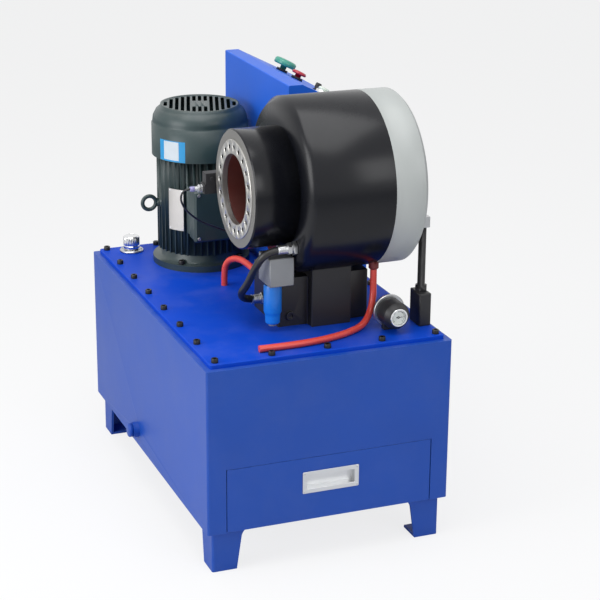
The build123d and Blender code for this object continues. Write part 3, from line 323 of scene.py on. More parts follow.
def brushing_group():
    """Straight brushing: noise stretched along one axis of the piece."""
    group, given, result = make_group(
        "brushing", [("Stretch", "v", (1.0, 60.0, 60.0)), ("Grain", "f", 30.0)],
        [("Height", "f"), ("Tone", "f")])
    place = add_node(group, "ShaderNodeTexCoord").outputs["Object"]
    long = group.nodes.new("ShaderNodeVectorMath")
    long.operation = "MULTIPLY"
    group.links.new(place, long.inputs[0])
    group.links.new(given.outputs["Stretch"], long.inputs[1])
    lines = noise(group, long.outputs["Vector"], given.outputs["Grain"], 4.0, 0.7)
    slow = noise(group, place, 16.0, 3.0)
    group.links.new(lines, result.inputs["Height"])
    tone = maths(group, "ADD", maths(group, "MULTIPLY", lines, 0.5), maths(group, "MULTIPLY", slow, 0.5))
    group.links.new(tone, result.inputs["Tone"])
    return group


def cast_grain_group():
    """A sand-cast or moulded skin: fine cells with softer lumps under them."""
    group, given, result = make_group("cast_grain", [("Grain", "f", 700.0)], [("Height", "f"), ("Tone", "f")])
    place = add_node(group, "ShaderNodeTexCoord").outputs["Object"]
    cells = add_node(group, "ShaderNodeTexVoronoi", [("Vector", place), ("Scale", given.outputs["Grain"])])
    lumps = noise(group, place, 160.0, 4.0)
    mixed = maths(group, "ADD", maths(group, "MULTIPLY", cells.outputs["Distance"], 0.5), lumps)
    group.links.new(mixed, result.inputs["Height"])
    group.links.new(noise(group, place, 12.0, 4.0), result.inputs["Tone"])
    return group


effects = {"peel": paint_peel_group(), "edge": edge_highlight_group(), "dust": dust_group(),
           "turning": turning_group(), "brushing": brushing_group(), "cast": cast_grain_group()}

# ---------------------------------------------------------------- finishes


def use_effect(tree, name, **values):
    """Place a shared effect in a material with its own values."""
    node = tree.nodes.new("ShaderNodeGroup")
    node.node_tree = effects[name]
    for key, value in values.items():
        node.inputs[key].default_value = value
    return node


def start_material(name, roughness, metallic=0.0, specular=0.5):
    """A new material with its plain shader values; returns it with its tree and shader."""
    material = bpy.data.materials.new(name)
    material.use_nodes = True
    shader = material.node_tree.nodes["Principled BSDF"]
    shader.inputs["Roughness"].default_value = roughness
    shader.inputs["Metallic"].default_value = metallic
    shader.inputs["Specular IOR Level"].default_value = specular
    return material, material.node_tree, shader


def blend_colour(tree, factor, first, second):
    """Mix two colours, each a socket or a colour, by a factor."""
    mix = tree.nodes.new("ShaderNodeMix")
    mix.data_type = "RGBA"
    for socket, value in ((mix.inputs[0], factor), (mix.inputs[6], first), (mix.inputs[7], second)):
        if isinstance(value, bpy.types.NodeSocket):
            tree.links.new(value, socket)
        elif isinstance(value, (int, float)):
            socket.default_value = value
        else:
            socket.default_value = (*value, 1)
    return mix.outputs[2]


def bump(tree, shader, height, distance):
    """Wire a height into the shader's normal."""
    node = tree.nodes.new("ShaderNodeBump")
    node.inputs["Distance"].default_value = distance
    node.inputs["Strength"].default_value = 1.0
    tree.links.new(height, node.inputs["Height"])
    tree.links.new(node.outputs["Normal"], shader.inputs["Normal"])


def shade(colour, factor):
    """A colour made darker or lighter."""
    return tuple(min(1.0, part * factor) for part in colour)


def enamel(name, colour, edge, roughness=0.35, specular=0.5, peel=0.00006, edge_amount=0.5, dust=0.2,
           dust_colour=(0.55, 0.54, 0.5)):
    """Sprayed enamel on steel: orange peel, cloudy tone, a painted highlight in the lighter edge colour along
    its edges, and a little dust.
    """
    material, tree, shader = start_material(name, roughness, specular=specular)
    skin = use_effect(tree, "peel", Grain=420.0)
    base = blend_colour(tree, skin.outputs["Tone"], shade(colour, 0.92), shade(colour, 1.08))
    # the lighter edge colour, blended in along outer edges, is a painted highlight
    painted_edge_light = use_effect(tree, "edge")
    amount = maths(tree, "MULTIPLY", painted_edge_light.outputs["Mask"], edge_amount)
    base = blend_colour(tree, amount, base, edge)
    film = use_effect(tree, "dust", Amount=dust)
    base = blend_colour(tree, film.outputs["Mask"], base, dust_colour)
    tree.links.new(base, shader.inputs["Base Color"])
    rough = maths(tree, "MULTIPLY_ADD", skin.outputs["Tone"], 0.12, roughness - 0.06)
    rough = maths(tree, "ADD", rough, maths(tree, "MULTIPLY", film.outputs["Mask"], 0.35))
    tree.links.new(rough, shader.inputs["Roughness"])
    bump(tree, shader, skin.outputs["Height"], peel)
    return material


def turned_metal(name, colour, roughness, dust=0.0):
    """Metal with a lathe's rings about the crimping head's axis."""
    material, tree, shader = start_material(name, roughness, metallic=1.0)
    cut = use_effect(tree, "turning", Centre=head_centre, Marks=900.0)
    base = blend_colour(tree, cut.outputs["Tone"], shade(colour, 0.75), colour)
    film = use_effect(tree, "dust", Amount=dust)
    base = blend_colour(tree, film.outputs["Mask"], base, (0.3, 0.28, 0.25))
    tree.links.new(base, shader.inputs["Base Color"])
    tree.links.new(maths(tree, "MULTIPLY_ADD", cut.outputs["Tone"], 0.25, roughness - 0.12),
                   shader.inputs["Roughness"])
    bump(tree, shader, cut.outputs["Height"], 0.00004)
    return material


def brushed_metal(name, colour, roughness, stretch=(1.0, 60.0, 60.0), depth=0.00003, dark=0.7):
    """Metal brushed along one axis."""
    material, tree, shader = start_material(name, roughness, metallic=1.0)
    lines = use_effect(tree, "brushing", Stretch=stretch)
    base = blend_colour(tree, lines.outputs["Tone"], shade(colour, dark), colour)
    tree.links.new(base, shader.inputs["Base Color"])
    tree.links.new(maths(tree, "MULTIPLY_ADD", lines.outputs["Tone"], 0.25, roughness - 0.12),
                   shader.inputs["Roughness"])
    bump(tree, shader, lines.outputs["Height"], depth)
    return material


def grained(name, colour, roughness, metallic=0.0, grain=700.0, depth=0.00008, dust=0.1, specular=0.5,
            variation=0.2):
    """A cast or moulded skin, painted, bare or of plastic or rubber."""
    material, tree, shader = start_material(name, roughness, metallic=metallic, specular=specular)
    skin = use_effect(tree, "cast", Grain=grain)
    dark, light = shade(colour, 1 - variation), shade(colour, 1 + variation)
    base = blend_colour(tree, skin.outputs["Tone"], dark, light)
    film = use_effect(tree, "dust", Amount=dust)
    base = blend_colour(tree, film.outputs["Mask"], base, (0.4, 0.39, 0.36))
    tree.links.new(base, shader.inputs["Base Color"])
    tree.links.new(maths(tree, "MULTIPLY_ADD", skin.outputs["Tone"], 0.16, roughness - 0.08),
                   shader.inputs["Roughness"])
    bump(tree, shader, skin.outputs["Height"], depth)
    return material


def clear_glass(name, tint):
    """Thin clear glass."""
    material, tree, shader = start_material(name, 0.04)
    shader.inputs["Transmission Weight"].default_value = 1.0
    shader.inputs["IOR"].default_value = 1.3
    shader.inputs["Base Color"].default_value = (*tint, 1)
    return material


# the second colour given to each enamel is its painted edge highlight
tank_blue = enamel("tank_blue", (0.007, 0.068, 0.40), (0.10, 0.25, 0.75), roughness=0.42, specular=0.35,
                   dust=0.08, edge_amount=0.45)
# plate_blue is a brighter copy of the tank's blue paint: the light on the top plate is painted into it, and
# the tank's sides carry the darker, painted-shade copy
plate_blue = enamel("plate_blue", (0.002, 0.062, 0.56), (0.02, 0.16, 0.8), roughness=0.5, specular=0.1,
                    dust=0.05, edge_amount=0.4)
cabinet_blue = enamel("cabinet_blue", (0.012, 0.12, 0.66), (0.1, 0.3, 0.85), roughness=0.4, specular=0.25,
                      dust=0.04, edge_amount=0.4)
gloss_black = enamel("gloss_black", (0.004, 0.0045, 0.007), (0.05, 0.05, 0.06), roughness=0.26, specular=0.3,
                     dust=0.03, peel=0.00003, dust_colour=(0.2, 0.2, 0.2))
satin_black = enamel("satin_black", (0.012, 0.012, 0.014), (0.08, 0.08, 0.08), roughness=0.45, dust=0.12,
                     dust_colour=(0.2, 0.2, 0.2))
flange_silver = enamel("flange_silver", (0.40, 0.42, 0.41), (0.6, 0.6, 0.6), roughness=0.38, dust=0.08,
                       edge_amount=0.6)
face_grey = enamel("face_grey", (0.16, 0.155, 0.145), (0.3, 0.3, 0.29), roughness=0.45, dust=0.1)
motor_green = grained("motor_green", (0.022, 0.044, 0.046), 0.36, grain=500.0, depth=0.00006, dust=0.12)
ring_steel = turned_metal("ring_steel", (0.62, 0.61, 0.58), 0.38)
tool_steel = turned_metal("tool_steel", (0.22, 0.17, 0.15), 0.42, dust=0.2)
bore_steel = turned_metal("bore_steel", (0.16, 0.07, 0.06), 0.5, dust=0.2)
throat_red = grained("throat_red", (0.10, 0.022, 0.018), 0.34, grain=300.0, depth=0.00004, dust=0.1)
zinc_steel = brushed_metal("zinc_steel", (0.60, 0.61, 0.62), 0.32)
black_oxide = grained("black_oxide", (0.025, 0.025, 0.028), 0.38, metallic=0.7, dust=0.1)
chrome = brushed_metal("chrome", (0.80, 0.81, 0.82), 0.14, depth=0.000004, dark=0.9)
aluminium = brushed_metal("aluminium", (0.74, 0.75, 0.76), 0.34)
plate_metal = brushed_metal("plate_metal", (0.66, 0.64, 0.62), 0.42, stretch=(60.0, 60.0, 1.0))
cast_grey = grained("cast_grey", (0.26, 0.27, 0.28), 0.5, metallic=0.5, dust=0.1)
black_rubber = grained("black_rubber", (0.010, 0.010, 0.011), 0.34, grain=300.0, depth=0.00003, dust=0.05)
cable_black = grained("cable_black", (0.014, 0.014, 0.015), 0.5, grain=900.0, depth=0.00003, dust=0.05)
red_hose = grained("red_hose", (0.80, 0.075, 0.055), 0.26, grain=200.0, depth=0.00001, dust=0.04,
                   variation=0.1)
boot_red = grained("boot_red", (0.16, 0.012, 0.012), 0.5, grain=500.0, dust=0.1)
coil_blue = grained("coil_blue", (0.01, 0.20, 0.72), 0.34, grain=500.0, depth=0.00003, dust=0.05)
button_green = grained("button_green", (0.05, 0.30, 0.22), 0.28, grain=300.0, depth=0.00001, dust=0.03)
button_red = grained("button_red", (0.42, 0.012, 0.03), 0.28, grain=300.0, depth=0.00001, dust=0.03)
black_plastic = grained("black_plastic", (0.015, 0.015, 0.016), 0.45, grain=1200.0, dust=0.08)
lamp_white = grained("lamp_white", (0.72, 0.80, 0.70), 0.22, grain=300.0, depth=0.00001, dust=0.0)
label_blue = grained("label_blue", (0.02, 0.30, 0.62), 0.35, grain=300.0, depth=0.00001, dust=0.03)
label_white = grained("label_white", (0.62, 0.68, 0.72), 0.4, grain=300.0, depth=0.00001, dust=0.05)
dial_white = grained("dial_white", (0.88, 0.89, 0.88), 0.5, grain=300.0, depth=0.00001, dust=0.0)
# near-black, used as painted shade in the retaining ring's holes and for the dial's printed ticks
shade_and_print_black = grained("shade_and_print_black", (0.006, 0.006, 0.007), 0.6, dust=0.0, specular=0.2)
tail_violet = grained("sensor_tail", (0.32, 0.30, 0.55), 0.3, grain=300.0, depth=0.00001, dust=0.02)
glass = clear_glass("glass", (0.97, 0.99, 0.98))

finish_of_slot = {
    "tank_blue": tank_blue, "leg_blue": tank_blue, "plate_blue": plate_blue, "cabinet_blue": cabinet_blue,
    "gloss_black": gloss_black, "satin_black": satin_black, "flange_silver": flange_silver,
    "motor_green": motor_green, "black_oxide": black_oxide, "zinc_steel": zinc_steel,
    "tool_steel": tool_steel, "chrome": chrome, "aluminium": aluminium, "cast_grey": cast_grey,
    "black_rubber": black_rubber,
    "red_hose": red_hose, "boot_red": boot_red, "cable_black": cable_black, "coil_blue": coil_blue,
    "button_green": button_green, "button_red": button_red, "black_plastic": black_plastic,
    "gauge_black": satin_black, "lamp_white": lamp_white}

for part in frame["record"]["subparts"]:
    mesh = nodes[part["node"]].data
    mesh.materials.clear()
    mesh.materials.append(finish_of_slot[part["material_slot"]])
nodes["steel_pipe"].data.materials[0] = black_oxide
nodes["retaining_ring"].data.materials[0] = ring_steel
nodes["cone_piston"].data.materials[0] = bore_steel

# ---------------------------------------------------------------- shapes


def ring(radius, height, corners=0, sides=48):
    """Points about +Z: (r cos t, r sin t, height); with corners, r is the reach of a polygon's flats."""
    angles = np.arange(sides) * 2 * math.pi / sides
    reach = np.full(sides, radius, float)
    if corners:
        part = 2 * math.pi / corners
        reach = radius / np.cos((angles + part / 2) % part - part / 2)
    return np.stack([reach * np.cos(angles), reach * np.sin(angles), np.full(sides, height, float)], axis=1)


def grid_faces(rows, columns, rows_close=False, columns_close=True):
    """Quads between neighbours in a grid of points, number row * columns + column; either way may close."""
    row = np.arange(rows if rows_close else rows - 1)[:, None]
    column = np.arange(columns if columns_close else columns - 1)[None, :]
    next_row, next_column = (row + 1) % rows, (column + 1) % columns
    corners = np.broadcast_arrays(row * columns + column, row * columns + next_column,
                                  next_row * columns + next_column, next_row * columns + column)
    return np.stack(corners, axis=-1).reshape(-1, 4).tolist()


def placed(points, origin, axis):
    """Points given about +Z, turned on their axis and carried to an origin: R p + origin."""
    aim = np.array(Vector(axis).to_track_quat("Z", "Y").to_matrix())
    return points @ aim.T + np.array(origin)


def turned_solid(outline, origin, axis, sides=48):
    """An outline (radius, height, corners) carried round an axis and closed by a flat face at each end."""
    points = np.concatenate([ring(*row, sides=sides) for row in outline])
    ends = [list(range(sides))[::-1], list(range(len(points) - sides, len(points)))]
    return placed(points, origin, axis), grid_faces(len(outline), sides) + ends


def turned_ring(outline, origin, axis, sides=64):
    """A closed outline (radius, height) carried round an axis."""
    points = np.concatenate([ring(*row, sides=sides) for row in outline])
    return placed(points, origin, axis), grid_faces(len(outline), sides, rows_close=True)


def rounded_plate(low, high, rounding, steps=4):
    """An upright plate: at four heights, the same four corner centres plus a quarter circle at each.

    The first and last height have the circles' radius less a small edge.
    """
    low, high = np.array(low), np.array(high)
    edge = min(rounding * 0.35, (high[2] - low[2]) * 0.3)
    signs = np.array([(1, 1), (-1, 1), (-1, -1), (1, -1)])
    centres = (low[:2] + high[:2]) / 2 + signs * ((high[:2] - low[:2]) / 2 - rounding)
    angles = math.pi / 2 * (np.arange(4)[:, None] + np.arange(steps + 1) / steps)
    circle = np.stack([np.cos(angles), np.sin(angles)], axis=-1)
    rows = []
    for height, inset in ((low[2], edge), (low[2] + edge, 0), (high[2] - edge, 0), (high[2], edge)):
        flat = (centres[:, None] + (rounding - inset) * circle).reshape(-1, 2)
        rows.append(np.column_stack([flat, np.full(len(flat), height)]))
    count = len(rows[0])
    ends = [list(range(count))[::-1], list(range(3 * count, 4 * count))]
    return np.concatenate(rows), ends + grid_faces(4, count)


def wrapped_patch(centre, radius, angles, heights, thickness, steps=16):
    """A thin plate bent round an upright axis: four arcs (x + r cos t, y + r sin t, height) and two ends."""
    turn = np.radians(np.linspace(*angles, steps + 1))
    outer = radius + thickness
    rows = [np.stack([centre.x + reach * np.cos(turn), centre.y + reach * np.sin(turn),
                      np.full(steps + 1, height)], axis=1)
            for reach, height in ((radius, heights[0]), (outer, heights[0]), (outer, heights[1]),
                                  (radius, heights[1]))]
    count = steps + 1
    ends = [[0, count, 2 * count, 3 * count], [steps, 3 * count + steps, 2 * count + steps, count + steps]]
    return np.concatenate(rows), grid_faces(4, count, rows_close=True, columns_close=False) + ends


def socket_screw(origin, axis, head_radius, head_height, shank_radius, shank_length):
    """A socket cap screw: a turned outline of shank, head and chamfer, with six corners in its socket."""
    key = head_radius * 0.5
    outline = [(0, -shank_length), (shank_radius, -shank_length), (shank_radius, 0), (head_radius, 0),
               (head_radius, head_height * 0.88), (head_radius * 0.9, head_height), (key * 1.2, head_height),
               (key, head_height * 0.97, 6), (key, head_height * 0.45, 6), (0, head_height * 0.42)]
    return turned_solid(outline, origin, axis, sides=24)


def fitting_nut(origin, axis, across, height):
    """A hexagon nut: a turned outline with six corners between two round chamfers."""
    half = across / 2
    cut = height * 0.12
    return turned_solid([(half * 0.55, 0), (half * 0.94, 0), (half, cut, 6), (half, height - cut, 6),
                         (half * 0.94, height), (half * 0.55, height)], origin, axis)


def ferrule(origin, axis):
    """The crimped sleeve on a hose's end: a turned outline with four grooves at an even pitch."""
    outline = [(0.0095, 0.0), (0.0112, 0.0008), (0.0112, 0.004)]
    for groove in range(4):
        start = 0.004 + groove * 0.0045
        outline += [(0.0105, start + 0.0008), (0.0105, start + 0.0030), (0.0112, start + 0.0036)]
    outline += [(0.0112, 0.0230), (0.0098, 0.0240)]
    return turned_solid(outline, origin, axis, sides=40)


# ---------------------------------------------------------------- pieces on their bodies


def piece(name, shapes, material, body="base", replaces=()):
    """One object from several shapes, riding on a body."""
    mesh = bpy.data.meshes.new(name)
    faces, start = [], 0
    for points, shape_faces in shapes:
        faces += [[start + corner for corner in face] for face in shape_faces]
        start += len(points)
    mesh.from_pydata(np.concatenate([points for points, _ in shapes]).tolist(), [], faces)
    build = bmesh.new()
    build.from_mesh(mesh)
    bmesh.ops.remove_doubles(build, verts=build.verts, dist=1e-6)
    bmesh.ops.recalc_face_normals(build, faces=build.faces)
    build.to_mesh(mesh)
    build.free()
    mesh.shade_smooth()
    mesh.set_sharp_from_angle(angle=math.radians(35))
    mesh.materials.append(material)
    item = bpy.data.objects.new(name, mesh)
    bpy.context.scene.collection.objects.link(item)
    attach(item, body)
    if replaces:
        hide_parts(*replaces)


def smooth_copy(node, round_edges=0.0):
    """A merged copy of a CAD node with smooth curves and, if asked, rounded edges; it stands for the node."""
    source = nodes[node]
    mesh = source.data.copy()
    build = bmesh.new()
    build.from_mesh(mesh)
    bmesh.ops.remove_doubles(build, verts=build.verts, dist=2e-6)
    if round_edges:
        flat = math.radians(0.5)
        bmesh.ops.dissolve_limit(build, angle_limit=flat, verts=build.verts, edges=build.edges)
    build.to_mesh(mesh)
    build.free()
    mesh.shade_smooth()
    mesh.set_sharp_from_angle(angle=math.radians(30))
    item = bpy.data.objects.new(node + "_finish", mesh)
    bpy.context.scene.collection.objects.link(item)
    if round_edges:
        bevel = item.modifiers.new("round", "BEVEL")
        bevel.width, bevel.segments = round_edges, 2
        bevel.limit_method, bevel.angle_limit = "ANGLE", math.radians(40)
        bevel.harden_normals = True
        bevel.use_clamp_overlap = True
    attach(item, body_of(source)[0])
    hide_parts(node)


def route_curve(name, route, radius, material):
    """A round hose on one smooth NURBS line, whose control points are the route in metres."""
    curve = bpy.data.curves.new(name, "CURVE")
    curve.dimensions = "3D"
    curve.bevel_depth = radius
    curve.bevel_resolution = 6
    curve.resolution_u = 10
    curve.use_fill_caps = True
    spline = curve.splines.new("NURBS")
    spline.points.add(len(route) - 1)
    for point, place in zip(spline.points, route):
        point.co = (*place, 1)
    spline.order_u = 3
    spline.use_endpoint_u = True
    item = bpy.data.objects.new(name, curve)
    bpy.context.scene.collection.objects.link(item)
    curve.materials.append(material)
    return item


def make_cord(node, route, radius, material):
    """A hose or cable of the machine: its curve, what it stands for and what it is."""
    item = route_curve(node + "_line", route, radius, material)
    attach(item, "base")
    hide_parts(node)


# ---------------------------------------------------------------- hoses and the sensor's cable

pressure_route = [
    (-0.058, -0.330, 0.718), (-0.090, -0.330, 0.718), (-0.116, -0.325, 0.704), (-0.128, -0.304, 0.668),
    (-0.133, -0.272, 0.622), (-0.140, -0.239, 0.589), (-0.114, -0.215, 0.565), (-0.080, -0.215, 0.565)]
drain_route = [
    (0.168, -0.308, 0.6388), (0.168, -0.308, 0.6068), (0.166, -0.314, 0.5708), (0.154, -0.326, 0.539),
    (0.126, -0.352, 0.519), (0.076, -0.383, 0.518), (0.022, -0.403, 0.518), (-0.036, -0.413, 0.518),
    (-0.096, -0.416, 0.518), (-0.156, -0.414, 0.518)]
return_route = [
    (-0.074, 0.060, 0.510), (-0.074, 0.060, 0.540), (-0.072, 0.058, 0.563), (-0.063, 0.047, 0.581),
    (-0.048, 0.022, 0.588), (-0.037, -0.018, 0.583), (-0.032, -0.062, 0.574), (-0.032, -0.111, 0.574)]
cable_route = [
    (-0.203, -0.070, 0.804), (-0.216, -0.070, 0.804), (-0.225, -0.066, 0.790), (-0.221, -0.058, 0.768),
    (-0.199, -0.042, 0.738), (-0.159, -0.014, 0.704), (-0.099, 0.016, 0.672), (-0.033, 0.034, 0.638),
    (0.022, 0.042, 0.642), (0.058, 0.042, 0.642)]
make_cord("pressure_hose", pressure_route, 0.009, black_rubber)
make_cord("drain_hose", drain_route, 0.008, red_hose)
make_cord("return_hose", return_route, 0.008, red_hose)
make_cord("sensor_cable", cable_route, 0.0025, cable_black)

# ---------------------------------------------------------------- smooth copies of CAD nodes

for node in ("head_barrel", "rear_collar", "front_flange", "cone_piston", "motor_flange", "motor_frame",
             "fan_cowl", "breather_flange", "eyebolt", "steel_pipe", "hose_boot", "solenoid_coil",
             "drain_plug", "motor_shaft", "motor_fan", "pump", "suction_strainer", "pilot_lamp",
             "start_button", "stop_button", "button_bezels"):
    smooth_copy(node)
for node in ("pedestal", "valve_body", "terminal_box", "terminal_box_lid", "cabinet_cover", "drawer_front",
             "drawer_pull", "pipe_block", "sensor_bracket", "level_gauge"):
    smooth_copy(node, round_edges=0.0008)
for node in ("tank_body", "control_cabinet", "leg_front_left", "leg_front_right", "leg_back_left",
             "leg_back_right"):
    smooth_copy(node, round_edges=0.0012)

# ---------------------------------------------------------------- plate and motor screws

up = (0, 0, 1)
plate_inset, screw_inset = 0.014, 0.030
spans_across, spans_along = 4, 7
motor_flange_thick, foot_screw_inset = 0.016, 0.013

rim = Vector((plate_inset, plate_inset, 0))
tank_low, tank_high = plate_low - rim, plate_high + rim
first_x, last_x = tank_low.x + screw_inset, tank_high.x - screw_inset
first_y, last_y = tank_low.y + screw_inset, tank_high.y - screw_inset
screw_places = []
for step in range(spans_across + 1):
    x = first_x + step * (last_x - first_x) / spans_across
    screw_places += [(x, first_y, plate_top), (x, last_y, plate_top)]
for step in range(1, spans_along):
    y = first_y + step * (last_y - first_y) / spans_along
    screw_places += [(first_x, y, plate_top), (last_x, y, plate_top)]
motor_flange_low, motor_flange_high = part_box("motor_flange")
foot_circle = (motor_flange_high.x - motor_flange_low.x) / 2 - foot_screw_inset
foot_places = [(motor_centre.x + foot_circle * math.cos(angle),
                motor_centre.y + foot_circle * math.sin(angle), plate_top + motor_flange_thick)
               for angle in (math.pi / 4 + math.pi / 2 * step for step in range(4))]
screws = [socket_screw(place, up, 0.008, 0.010, 0.005, 0.014) for place in screw_places + foot_places]
piece("plate_screws", screws, black_oxide, replaces=["cap_screws"])

# ---------------------------------------------------------------- retaining ring, collar face and throat

rearward, inward = (-1, 0, 0), (1, 0, 0)
ring_screw_count, ring_screw_circle, ring_screw_depth = 20, 0.0985, 0.0055
face_inner_radius, collar_edge, face_film = 0.1146, 0.0032, 0.0003

ring_low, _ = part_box("retaining_ring")
ring_turns = [step * 2 * math.pi / ring_screw_count for step in range(ring_screw_count)]
ring_places = [(ring_low.x, head_centre.y + ring_screw_circle * math.cos(turn),
                head_centre.z + ring_screw_circle * math.sin(turn)) for turn in ring_turns]
# the sunk screws and the thin sleeves in their counterbores are near-black: painted shade in the holes
sunk = [socket_screw((x + ring_screw_depth, y, z), rearward, 0.005, 0.0022, 0.003, 0.005)
        for x, y, z in ring_places]
piece("ring_screws_sunk", sunk, shade_and_print_black, replaces=["ring_screws"])
smooth_copy("retaining_ring")
counterbore_shade = [(0.0047, 0.0001), (0.0052, 0.0001), (0.0052, 0.0056), (0.0047, 0.0056)]
piece("ring_counterbores", [turned_ring(counterbore_shade, place, inward, sides=24) for place in ring_places],
      shade_and_print_black)

collar_low, collar_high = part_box("rear_collar")
face_outer_radius = (collar_high.z - collar_low.z) / 2 - collar_edge
collar_at = (collar_low.x, head_centre.y, head_centre.z)
face = [(face_inner_radius, 0.0), (face_outer_radius, 0.0), (face_outer_radius - 0.0002, face_film),
        (face_inner_radius + 0.0002, face_film)]
piece("collar_face", [turned_ring(face, collar_at, rearward, sides=96)], face_grey)
throat = [(0.0816, 0.010), (0.0820, 0.010), (0.0820, 0.086), (0.0816, 0.086)]
piece("throat_lining", [turned_ring(throat, collar_at, inward, sides=96)], throat_red)

# ---------------------------------------------------------------- pressure gauge

forward = (0, -1, 0)
gauge_x, gauge_height = 0.184, 0.043
foot_half_width, foot_depth, foot_top = 0.018, 0.016, 0.026
dial_edge, dial_face, tick_depth = 0.0158, 0.0559, 0.0001

_, gauge_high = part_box("pressure_gauge")
gauge_at = Vector((gauge_x, gauge_high.y, plate_top + gauge_height))
flange = [(0.0325, 0), (0.039, 0), (0.039, 0.0045), (0.0375, 0.006), (0.0325, 0.006)]
piece("gauge_flange", [turned_ring(flange, gauge_at, forward)], zinc_steel)
case = [(0.002, 0), (0.0322, 0), (0.0322, 0.046), (0.0312, 0.0485), (0.0245, 0.0585), (0.023, 0.060),
        (0.0188, 0.060), (0.0182, 0.055), (0.002, 0.055)]
gauge_foot = rounded_plate((gauge_x - foot_half_width, gauge_at.y - foot_depth, plate_top),
                           (gauge_x + foot_half_width, gauge_at.y - 0.0005, gauge_at.z - foot_top), 0.003)
piece("gauge_case", [turned_ring(case, gauge_at, forward), gauge_foot], satin_black,
      replaces=["pressure_gauge"])
bezel = [(0.0178, 0.0555), (0.0215, 0.0598), (0.0215, 0.0612), (0.0205, 0.0622), (0.0178, 0.0622),
         (0.0172, 0.0605)]
piece("gauge_bezel", [turned_ring(bezel, gauge_at, forward)], chrome)
dial = [(0, 0.0553), (0.0178, 0.0553), (0.0178, 0.0558), (0, 0.0558)]
piece("gauge_dial", [turned_solid(dial, gauge_at, forward)], dial_white)


def dial_tick(angle, long, wide):
    """A thin bar along a radius of the dial: both ends plus and minus half its width, at two depths."""
    out = np.array((math.cos(angle), 0, math.sin(angle)))
    across = np.array((-math.sin(angle), 0, math.cos(angle))) * wide
    middle_of_face = np.array(gauge_at + Vector(forward) * dial_face)
    near, far = middle_of_face + out * (dial_edge - long), middle_of_face + out * dial_edge
    front = np.stack([near - across, far - across, far + across, near + across])
    points = np.concatenate([front, front + np.array(forward) * tick_depth])
    return points, [(0, 1, 2, 3), (7, 6, 5, 4), (0, 4, 5, 1), (1, 5, 6, 2), (2, 6, 7, 3), (3, 7, 4, 0)]


first_tick, tick_step, tick_count = 225, 9, 31
ticks = []
for step in range(tick_count):
    long, wide = (0.0032, 0.0005) if step % 5 == 0 else (0.0018, 0.00028)
    ticks.append(dial_tick(math.radians(first_tick - tick_step * step), long, wide))
piece("gauge_ticks", ticks, shade_and_print_black)
pane = [(0, 0.0600), (0.0176, 0.0600), (0.0176, 0.0610), (0, 0.0610)]
piece("gauge_glass", [turned_solid(pane, gauge_at, forward)], glass)

# ---------------------------------------------------------------- motor: nameplate, label, lid screws

fin_radius, nameplate_thick, label_thick = 0.112, 0.0012, 0.0003
nameplate_angles, nameplate_heights = (206.5, 229), (0.615, 0.722)
rivet_angles, rivet_heights = (208.5, 227), (0.619, 0.718)
label_angles, label_heights = (198, 234), (0.796, 0.849)
field_angles, field_heights = (205, 226), (0.800, 0.847)

piece("motor_nameplate", [wrapped_patch(motor_centre, fin_radius + 0.0002, nameplate_angles,
                                        nameplate_heights, nameplate_thick)], plate_metal)
rivet = [(0.0022, 0), (0.0021, 0.0006), (0.0014, 0.0012), (0, 0.0014)]
rivet_reach = fin_radius + nameplate_thick + 0.0001
rivets = []
for angle in rivet_angles:
    out = (math.cos(math.radians(angle)), math.sin(math.radians(angle)), 0)
    for height in rivet_heights:
        place = (motor_centre.x + rivet_reach * out[0], motor_centre.y + rivet_reach * out[1], height)
        rivets.append(turned_solid(rivet, place, out, sides=16))
piece("nameplate_rivets", rivets, aluminium)
cowl_low, cowl_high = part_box("fan_cowl")
label_radius = (cowl_high.x - cowl_low.x) / 2 + 0.0001
piece("cowl_label", [wrapped_patch(motor_centre, label_radius, label_angles, label_heights, label_thick)],
      label_blue)
piece("cowl_label_field", [wrapped_patch(motor_centre, label_radius + label_thick, field_angles,
                                         field_heights, label_thick)], label_white)

lid_low, lid_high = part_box("terminal_box_lid")
lid_inset, lid_sink = 0.011, 0.0005
lid_screws = [socket_screw((x, lid_low.y + lid_sink, z), forward, 0.0042, 0.003, 0.002, 0.003)
              for x in (lid_low.x + lid_inset, lid_high.x - lid_inset)
              for z in (lid_low.z + lid_inset, lid_high.z - lid_inset)]
piece("lid_screws", lid_screws, zinc_steel)

# ---------------------------------------------------------------- breather: knurled cap and flange screws

breather = middle("breather_cap")
cap_outline = [(0.0150, 0.0085), (0.0205, 0.0085), (0.0215, 0.0095), (0.0215, 0.0155), (0.0200, 0.0170),
               (0.0205, 0.0180), (0.0205, 0.0375), (0.0195, 0.0400), (0.0175, 0.0418), (0.0168, 0.0412),
               (0.0155, 0.0408), (0.0120, 0.0424), (0.0060, 0.0430), (0, 0.0430)]


def knurled_cap(foot):
    """The filler cap: a turned outline whose grip swells by 3.5% times the cosine of 30 times the angle."""
    points, faces = turned_solid(cap_outline, (0, 0, 0), up, sides=120)
    radii = np.hypot(points[:, 0], points[:, 1])
    angles = np.arctan2(points[:, 1], points[:, 0])
    grip = (points[:, 2] > 0.0178) & (points[:, 2] < 0.0390) & (radii > 0.019)
    points[:, :2] *= (1 + 0.035 * np.where(grip, np.cos(angles * 30), 0.0))[:, None]
    return points + np.array(foot), faces


piece("breather_cap_knurled", [knurled_cap((breather.x, breather.y, plate_top))], chrome,
      body="breather_lid", replaces=["breather_cap"])
breather_circle, breather_flange_top = 0.0255, plate_top + 0.0055
flange_screws = [socket_screw((breather.x + breather_circle * math.cos(angle),
                               breather.y + breather_circle * math.sin(angle), breather_flange_top),
                              up, 0.0028, 0.0026, 0.0015, 0.003)
                 for angle in (math.radians(30 + 60 * step) for step in range(6))]
piece("breather_screws", flange_screws, zinc_steel)

# ---------------------------------------------------------------- sensor, its nuts and tail

